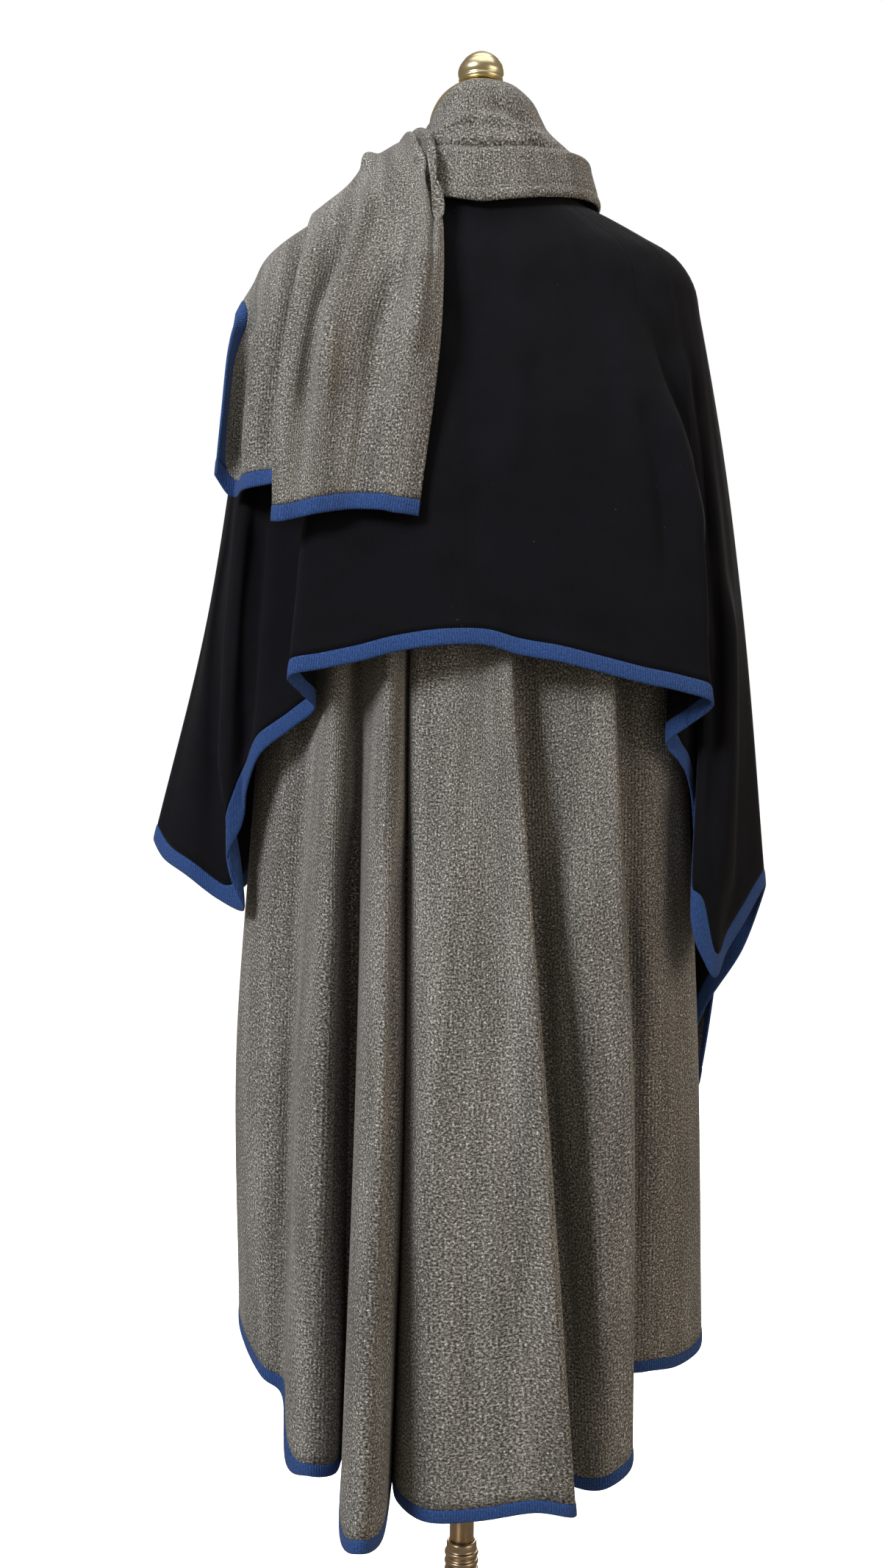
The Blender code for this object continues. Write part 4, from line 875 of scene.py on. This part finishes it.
# ---- finishes
# sizes of the patterns, in millimetres
FLECK, PATCH = 1.6667, 20.0     # flecks of the marl, and its lighter and darker patches
KNIT_WALE = 3.1416              # its wales
SILVER_GLINT_GAP = 5.5556             # from one silver fibre in it, painted as a glint, to the next
JERSEY_WALE, BLOOM = 1.5708, 50.0     # the jersey's wales and the patches of its bloom
LINT_GAP = 25.0                 # from one speck of lint on it to the next
BRAID_RIB, NAP = 2.4166, 2.0    # the braid's ribs and the flecks of its nap
LINEN_GRAIN = 2.5
WAVE_REPEAT = math.pi / 10.0    # a wave texture of scale 1 repeats at this distance
TOOL_RINGS = (20.0, 20.0, 1500.0)     # in a metre: long marks round the brass, fine ones up it
FACTOR, FIRST, SECOND, MIXED = 0, 6, 7, 2     # sockets of a Mix node that mixes colours


def linear(hex_colour):
    """An sRGB hex colour as linear red, green, blue and alpha."""
    parts = [int(hex_colour[place:place + 2], 16) / 255.0 for place in (1, 3, 5)]
    return [part / 12.92 if part <= 0.04045 else ((part + 0.055) / 1.055) ** 2.4
            for part in parts] + [1.0]


def node(tree, kind, output, inputs, stops=(), **settings):
    """Adds a node with its settings and links, and returns the output asked for."""
    made = tree.nodes.new(kind)
    for name, value in settings.items():
        setattr(made, name, value)
    for name, value in inputs.items():
        if isinstance(value, bpy.types.NodeSocket):
            tree.links.new(value, made.inputs[name])
        else:
            made.inputs[name].default_value = value
    for number, (place, colour) in enumerate(stops):
        points = made.color_ramp.elements
        point = points[number] if number < 2 else points.new(place)
        point.position = place
        point.color = linear(colour)
    return made.outputs[output]


def finish(name, roughness, metallic=0.0, **others):
    """A new material with plain values on its shader; returns material, tree and shader."""
    made = bpy.data.materials.new(name)
    made.use_nodes = True
    shader = made.node_tree.nodes["Principled BSDF"]
    shader.inputs["Roughness"].default_value = roughness
    shader.inputs["Metallic"].default_value = metallic
    for key, value in others.items():
        shader.inputs[key.replace("_", " ")].default_value = value
    return made, made.node_tree, shader


def on_cloth(tree, along=1.0):
    """Place on the cloth in millimetres; along, below 1, draws a pattern out along the wales."""
    place = node(tree, "ShaderNodeUVMap", "UV", {}, uv_map="cloth")
    return node(tree, "ShaderNodeMapping", "Vector",
                {"Vector": place, "Scale": (1.0 / MM, along / MM, 1.0 / MM)})


def dress_shader(tree, shader, colour, height, depth):
    """Colour and a relief of a depth in millimetres on the shader."""
    tree.links.new(colour, shader.inputs["Base Color"])
    bump = node(tree, "ShaderNodeBump", "Normal",
                {"Height": height, "Distance": MM * depth, "Strength": 0.8})
    tree.links.new(bump, shader.inputs["Normal"])


def painted_groove_shade(tree, colour, ribs, groove_shade, share):
    """The colour with painted shade, darkened towards a shade colour in the hollows between the ribs.
    """
    shade = node(tree, "ShaderNodeValToRGB", "Color", {"Fac": ribs},
                 stops=((0.0, groove_shade), (0.5, "#ffffff")))
    return node(tree, "ShaderNodeMix", MIXED, {FACTOR: share, FIRST: colour, SECOND: shade},
                data_type="RGBA", blend_type="MULTIPLY")


def specked(tree, colour, gap, speck, core, rim):
    """The colour with a speck every gap mm, solid to core and gone at rim, as shares of gap."""
    cells = node(tree, "ShaderNodeTexVoronoi", "Distance",
                 {"Vector": on_cloth(tree), "Scale": 1.0 / gap})
    here = node(tree, "ShaderNodeValToRGB", "Color", {"Fac": cells},
                stops=((core, "#ffffff"), (rim, "#000000")))
    return node(tree, "ShaderNodeMix", MIXED,
                {FACTOR: here, FIRST: colour, SECOND: linear(speck)}, data_type="RGBA")


def brushed_grey_marl():
    """Brushed marl knit: dark and light wool fibres mixed to a fine speckle, faint wales with
    painted shade in the hollows between them and a soft nap that dulls it, with here and there
    a bright silver fibre painted as a glint.  Single fibres would be too fine to show, so its
    flecks are drawn 1.7 mm across and its wales 3.1 mm apart."""
    made, tree, shader = finish("brushed_grey_marl", 0.95, Sheen_Weight=0.1,
                                Sheen_Roughness=0.6, Specular_IOR_Level=0.15)
    fibres = node(tree, "ShaderNodeTexNoise", "Fac", {
        "Vector": on_cloth(tree, 0.85), "Scale": 1.0 / FLECK, "Detail": 3.0, "Roughness": 0.8})
    clouds = node(tree, "ShaderNodeTexNoise", "Fac", {
        "Vector": on_cloth(tree, 0.12), "Scale": 1.0 / PATCH, "Detail": 3.0})
    mixed = node(tree, "ShaderNodeMath", 0, {0: clouds, 1: 0.12, 2: fibres},
                 operation="MULTIPLY_ADD")
    marl = node(tree, "ShaderNodeValToRGB", "Color", {"Fac": mixed},
                stops=((0.41, "#1f1d1b"), (0.72, "#e9e8e4"), (0.49, "#4b4946"),
                       (0.56, "#716f6b"), (0.63, "#a2a09c")))
    wales = node(tree, "ShaderNodeTexWave", "Fac", {
        "Vector": on_cloth(tree), "Scale": WAVE_REPEAT / KNIT_WALE, "Distortion": 1.5,
        "Detail": 1.0}, bands_direction="X")
    # painted shade in the hollows between the wales
    marl = painted_groove_shade(tree, marl, wales, "#d6d4d1", 0.5)
    # painted glints: bright specks of silver fibre painted into the colour
    colour = specked(tree, marl, SILVER_GLINT_GAP, "#e9e7e1", 0.09, 0.13)
    height = node(tree, "ShaderNodeMath", 0, {0: wales, 1: fibres}, operation="ADD")
    dress_shader(tree, shader, colour, height, 0.4)
    return made


def matt_black_jersey():
    """Black jersey: deep matt black with a cold bloom, fine wales 1.6 mm apart, no finer than
    can show, and a little lint."""
    made, tree, shader = finish("matt_black_jersey", 0.9, Sheen_Weight=0.035,
                                Sheen_Roughness=0.4, Specular_IOR_Level=0.15)
    clouds = node(tree, "ShaderNodeTexNoise", "Fac", {
        "Vector": on_cloth(tree), "Scale": 1.0 / BLOOM, "Detail": 3.0, "Roughness": 0.6})
    tone = node(tree, "ShaderNodeValToRGB", "Color", {"Fac": clouds},
                stops=((0.3, "#0b0b11"), (0.7, "#111118")))
    colour = specked(tree, tone, LINT_GAP, "#4a4a50", 0.014, 0.024)
    wales = node(tree, "ShaderNodeTexWave", "Fac", {
        "Vector": on_cloth(tree), "Scale": WAVE_REPEAT / JERSEY_WALE, "Distortion": 0.6},
        bands_direction="X")
    dress_shader(tree, shader, colour, wales, 0.15)
    return made


def blue_wool_braid():
    """Blue knitted braid: ribs 2.4 mm apart across its width with painted shade between them, and
    a dusty nap of 2 mm flecks, coarser than its wool so that it shows."""
    made, tree, shader = finish("blue_wool_braid", 0.9, Sheen_Weight=0.08,
                                Sheen_Roughness=0.5, Specular_IOR_Level=0.25)
    fibres = node(tree, "ShaderNodeTexNoise", "Fac", {
        "Vector": on_cloth(tree), "Scale": 1.0 / NAP, "Detail": 3.0, "Roughness": 0.7})
    tone = node(tree, "ShaderNodeValToRGB", "Color", {"Fac": fibres},
                stops=((0.3, "#22396c"), (0.72, "#4369ae"), (0.5, "#30518e")))
    ribs = node(tree, "ShaderNodeTexWave", "Fac", {
        "Vector": on_cloth(tree), "Scale": WAVE_REPEAT / BRAID_RIB, "Distortion": 0.8},
        bands_direction="X")
    # painted shade in the hollows between the braid's ribs
    colour = painted_groove_shade(tree, tone, ribs, "#a2a2a2", 0.6)
    height = node(tree, "ShaderNodeMath", 0, {0: ribs, 1: fibres}, operation="ADD")
    dress_shader(tree, shader, colour, height, 0.4)
    return made


def turned_brass(name, stops, roughness, stain):
    """Turned brass: its colour drifts with age in stains of a size in millimetres, and fine
    tool rings run round it."""
    made, tree, shader = finish(name, roughness, 1.0)
    place = node(tree, "ShaderNodeTexCoord", "Object", {})
    ageing = node(tree, "ShaderNodeTexNoise", "Fac", {
        "Vector": place, "Scale": 1.0 / (MM * stain), "Detail": 4.0, "Roughness": 0.65})
    colour = node(tree, "ShaderNodeValToRGB", "Color", {"Fac": ageing}, stops=stops)
    flat = node(tree, "ShaderNodeMapping", "Vector", {"Vector": place, "Scale": TOOL_RINGS})
    rings = node(tree, "ShaderNodeTexNoise", "Fac", {"Vector": flat, "Scale": 1.0})
    dress_shader(tree, shader, colour, rings, 0.03)
    return made


def linen_cover():
    """Plain woven linen over padding: pale, dull, with an even grain of 2.5 mm, coarser than
    its threads so that it shows."""
    made, tree, shader = finish("linen_cover", 0.9, Sheen_Weight=0.1)
    place = node(tree, "ShaderNodeTexCoord", "Object", {})
    grain = node(tree, "ShaderNodeTexNoise", "Fac", {
        "Vector": place, "Scale": 1.0 / (MM * LINEN_GRAIN)})
    colour = node(tree, "ShaderNodeValToRGB", "Color", {"Fac": grain},
                  stops=((0.3, "#b4a993"), (0.7, "#cfc6b3")))
    dress_shader(tree, shader, colour, grain, 0.3)
    return made


# ---- floor, light and camera
def soft_light(name, place, target, size, power, colour):
    """A soft square light aimed at a point."""
    lamp = bpy.data.lights.new(name, "AREA")
    lamp.size, lamp.energy, lamp.color = size, power, linear(colour)[:3]
    made = placed(name, lamp)
    made.location = place
    made.rotation_euler = (Vector(target) - Vector(place)).to_track_quat("-Z", "Y").to_euler()


def pale_floor():
    """A floor with an even light of its own; it throws none back, so the folds keep their
    shade."""
    reach = FLOOR_REACH
    mesh = bpy.data.meshes.new("floor")
    mesh.from_pydata([(-reach, -reach, 0), (reach, -reach, 0), (reach, reach, 0),
                      (-reach, reach, 0)], [], [(0, 1, 2, 3)])
    floor = placed("floor", mesh)
    mesh.materials.append(finish("pale_floor", 0.95, Base_Color=linear("#f6f6f6"),
                                 Specular_IOR_Level=0.1)[0])
    floor.visible_diffuse = floor.visible_glossy = False
    floor_only = bpy.data.collections.new("floor only")
    floor_only.objects.link(floor)
    overhead = bpy.data.lights.new("floor light", "SUN")
    overhead.energy, overhead.angle = FLOOR_LIGHT, math.radians(FLOOR_SPREAD)
    placed("floor light", overhead).light_linking.receiver_collection = floor_only


def pale_room():
    """Surroundings that look white and glow warmly on the garment."""
    world = bpy.data.worlds.new("pale_surroundings")
    world.use_nodes = True
    tree, back = world.node_tree, world.node_tree.nodes["Background"]
    seen = node(tree, "ShaderNodeLightPath", "Is Camera Ray", {})
    glow = node(tree, "ShaderNodeMix", MIXED, {
        FACTOR: seen, FIRST: linear(ROOM_GLOW), SECOND: linear("#ffffff")}, data_type="RGBA")
    tree.links.new(glow, back.inputs["Color"])
    bpy.context.scene.world = world


def camera():
    """The camera behind the form, a little below its waist."""
    lens = bpy.data.cameras.new("camera")
    lens.sensor_fit, lens.sensor_height, lens.lens = "VERTICAL", SENSOR, LENS
    made = placed("camera", lens)
    made.location = CAMERA_PLACE
    made.rotation_euler = (math.radians(90.0), CAMERA_ROLL, 0.0)
    bpy.context.scene.camera = made
    bpy.context.scene.view_settings.view_transform = "Standard"


# ---- the build
finishes = {
    "grey_knit": brushed_grey_marl(),
    "black_jersey": matt_black_jersey(),
    "blue_braid": blue_wool_braid(),
    "polished_brass": turned_brass("polished_brass", ((0.3, "#d0c194"), (0.7, "#e9dfbd")), 0.3,
                                   28.0),
    "aged_brass": turned_brass("aged_brass", ((0.3, "#98866f"), (0.7, "#c4b196")), 0.34, 40.0),
}

long_cape()
over_cape()
wrap_front()
wrap_back("wrap_under", WRAP_UNDER, "wrap under", True)
wrap_back("wrap_tail", WRAP_TAIL, "wrap tail", False)
round_neck = np.arange(90.0, 450.0, COLLAR_STEP)
standing_collar(round_neck)
collar_band(round_neck)
form_and_stand()

pale_floor()
pale_room()
for light in LIGHTS:
    soft_light(*light)
camera()
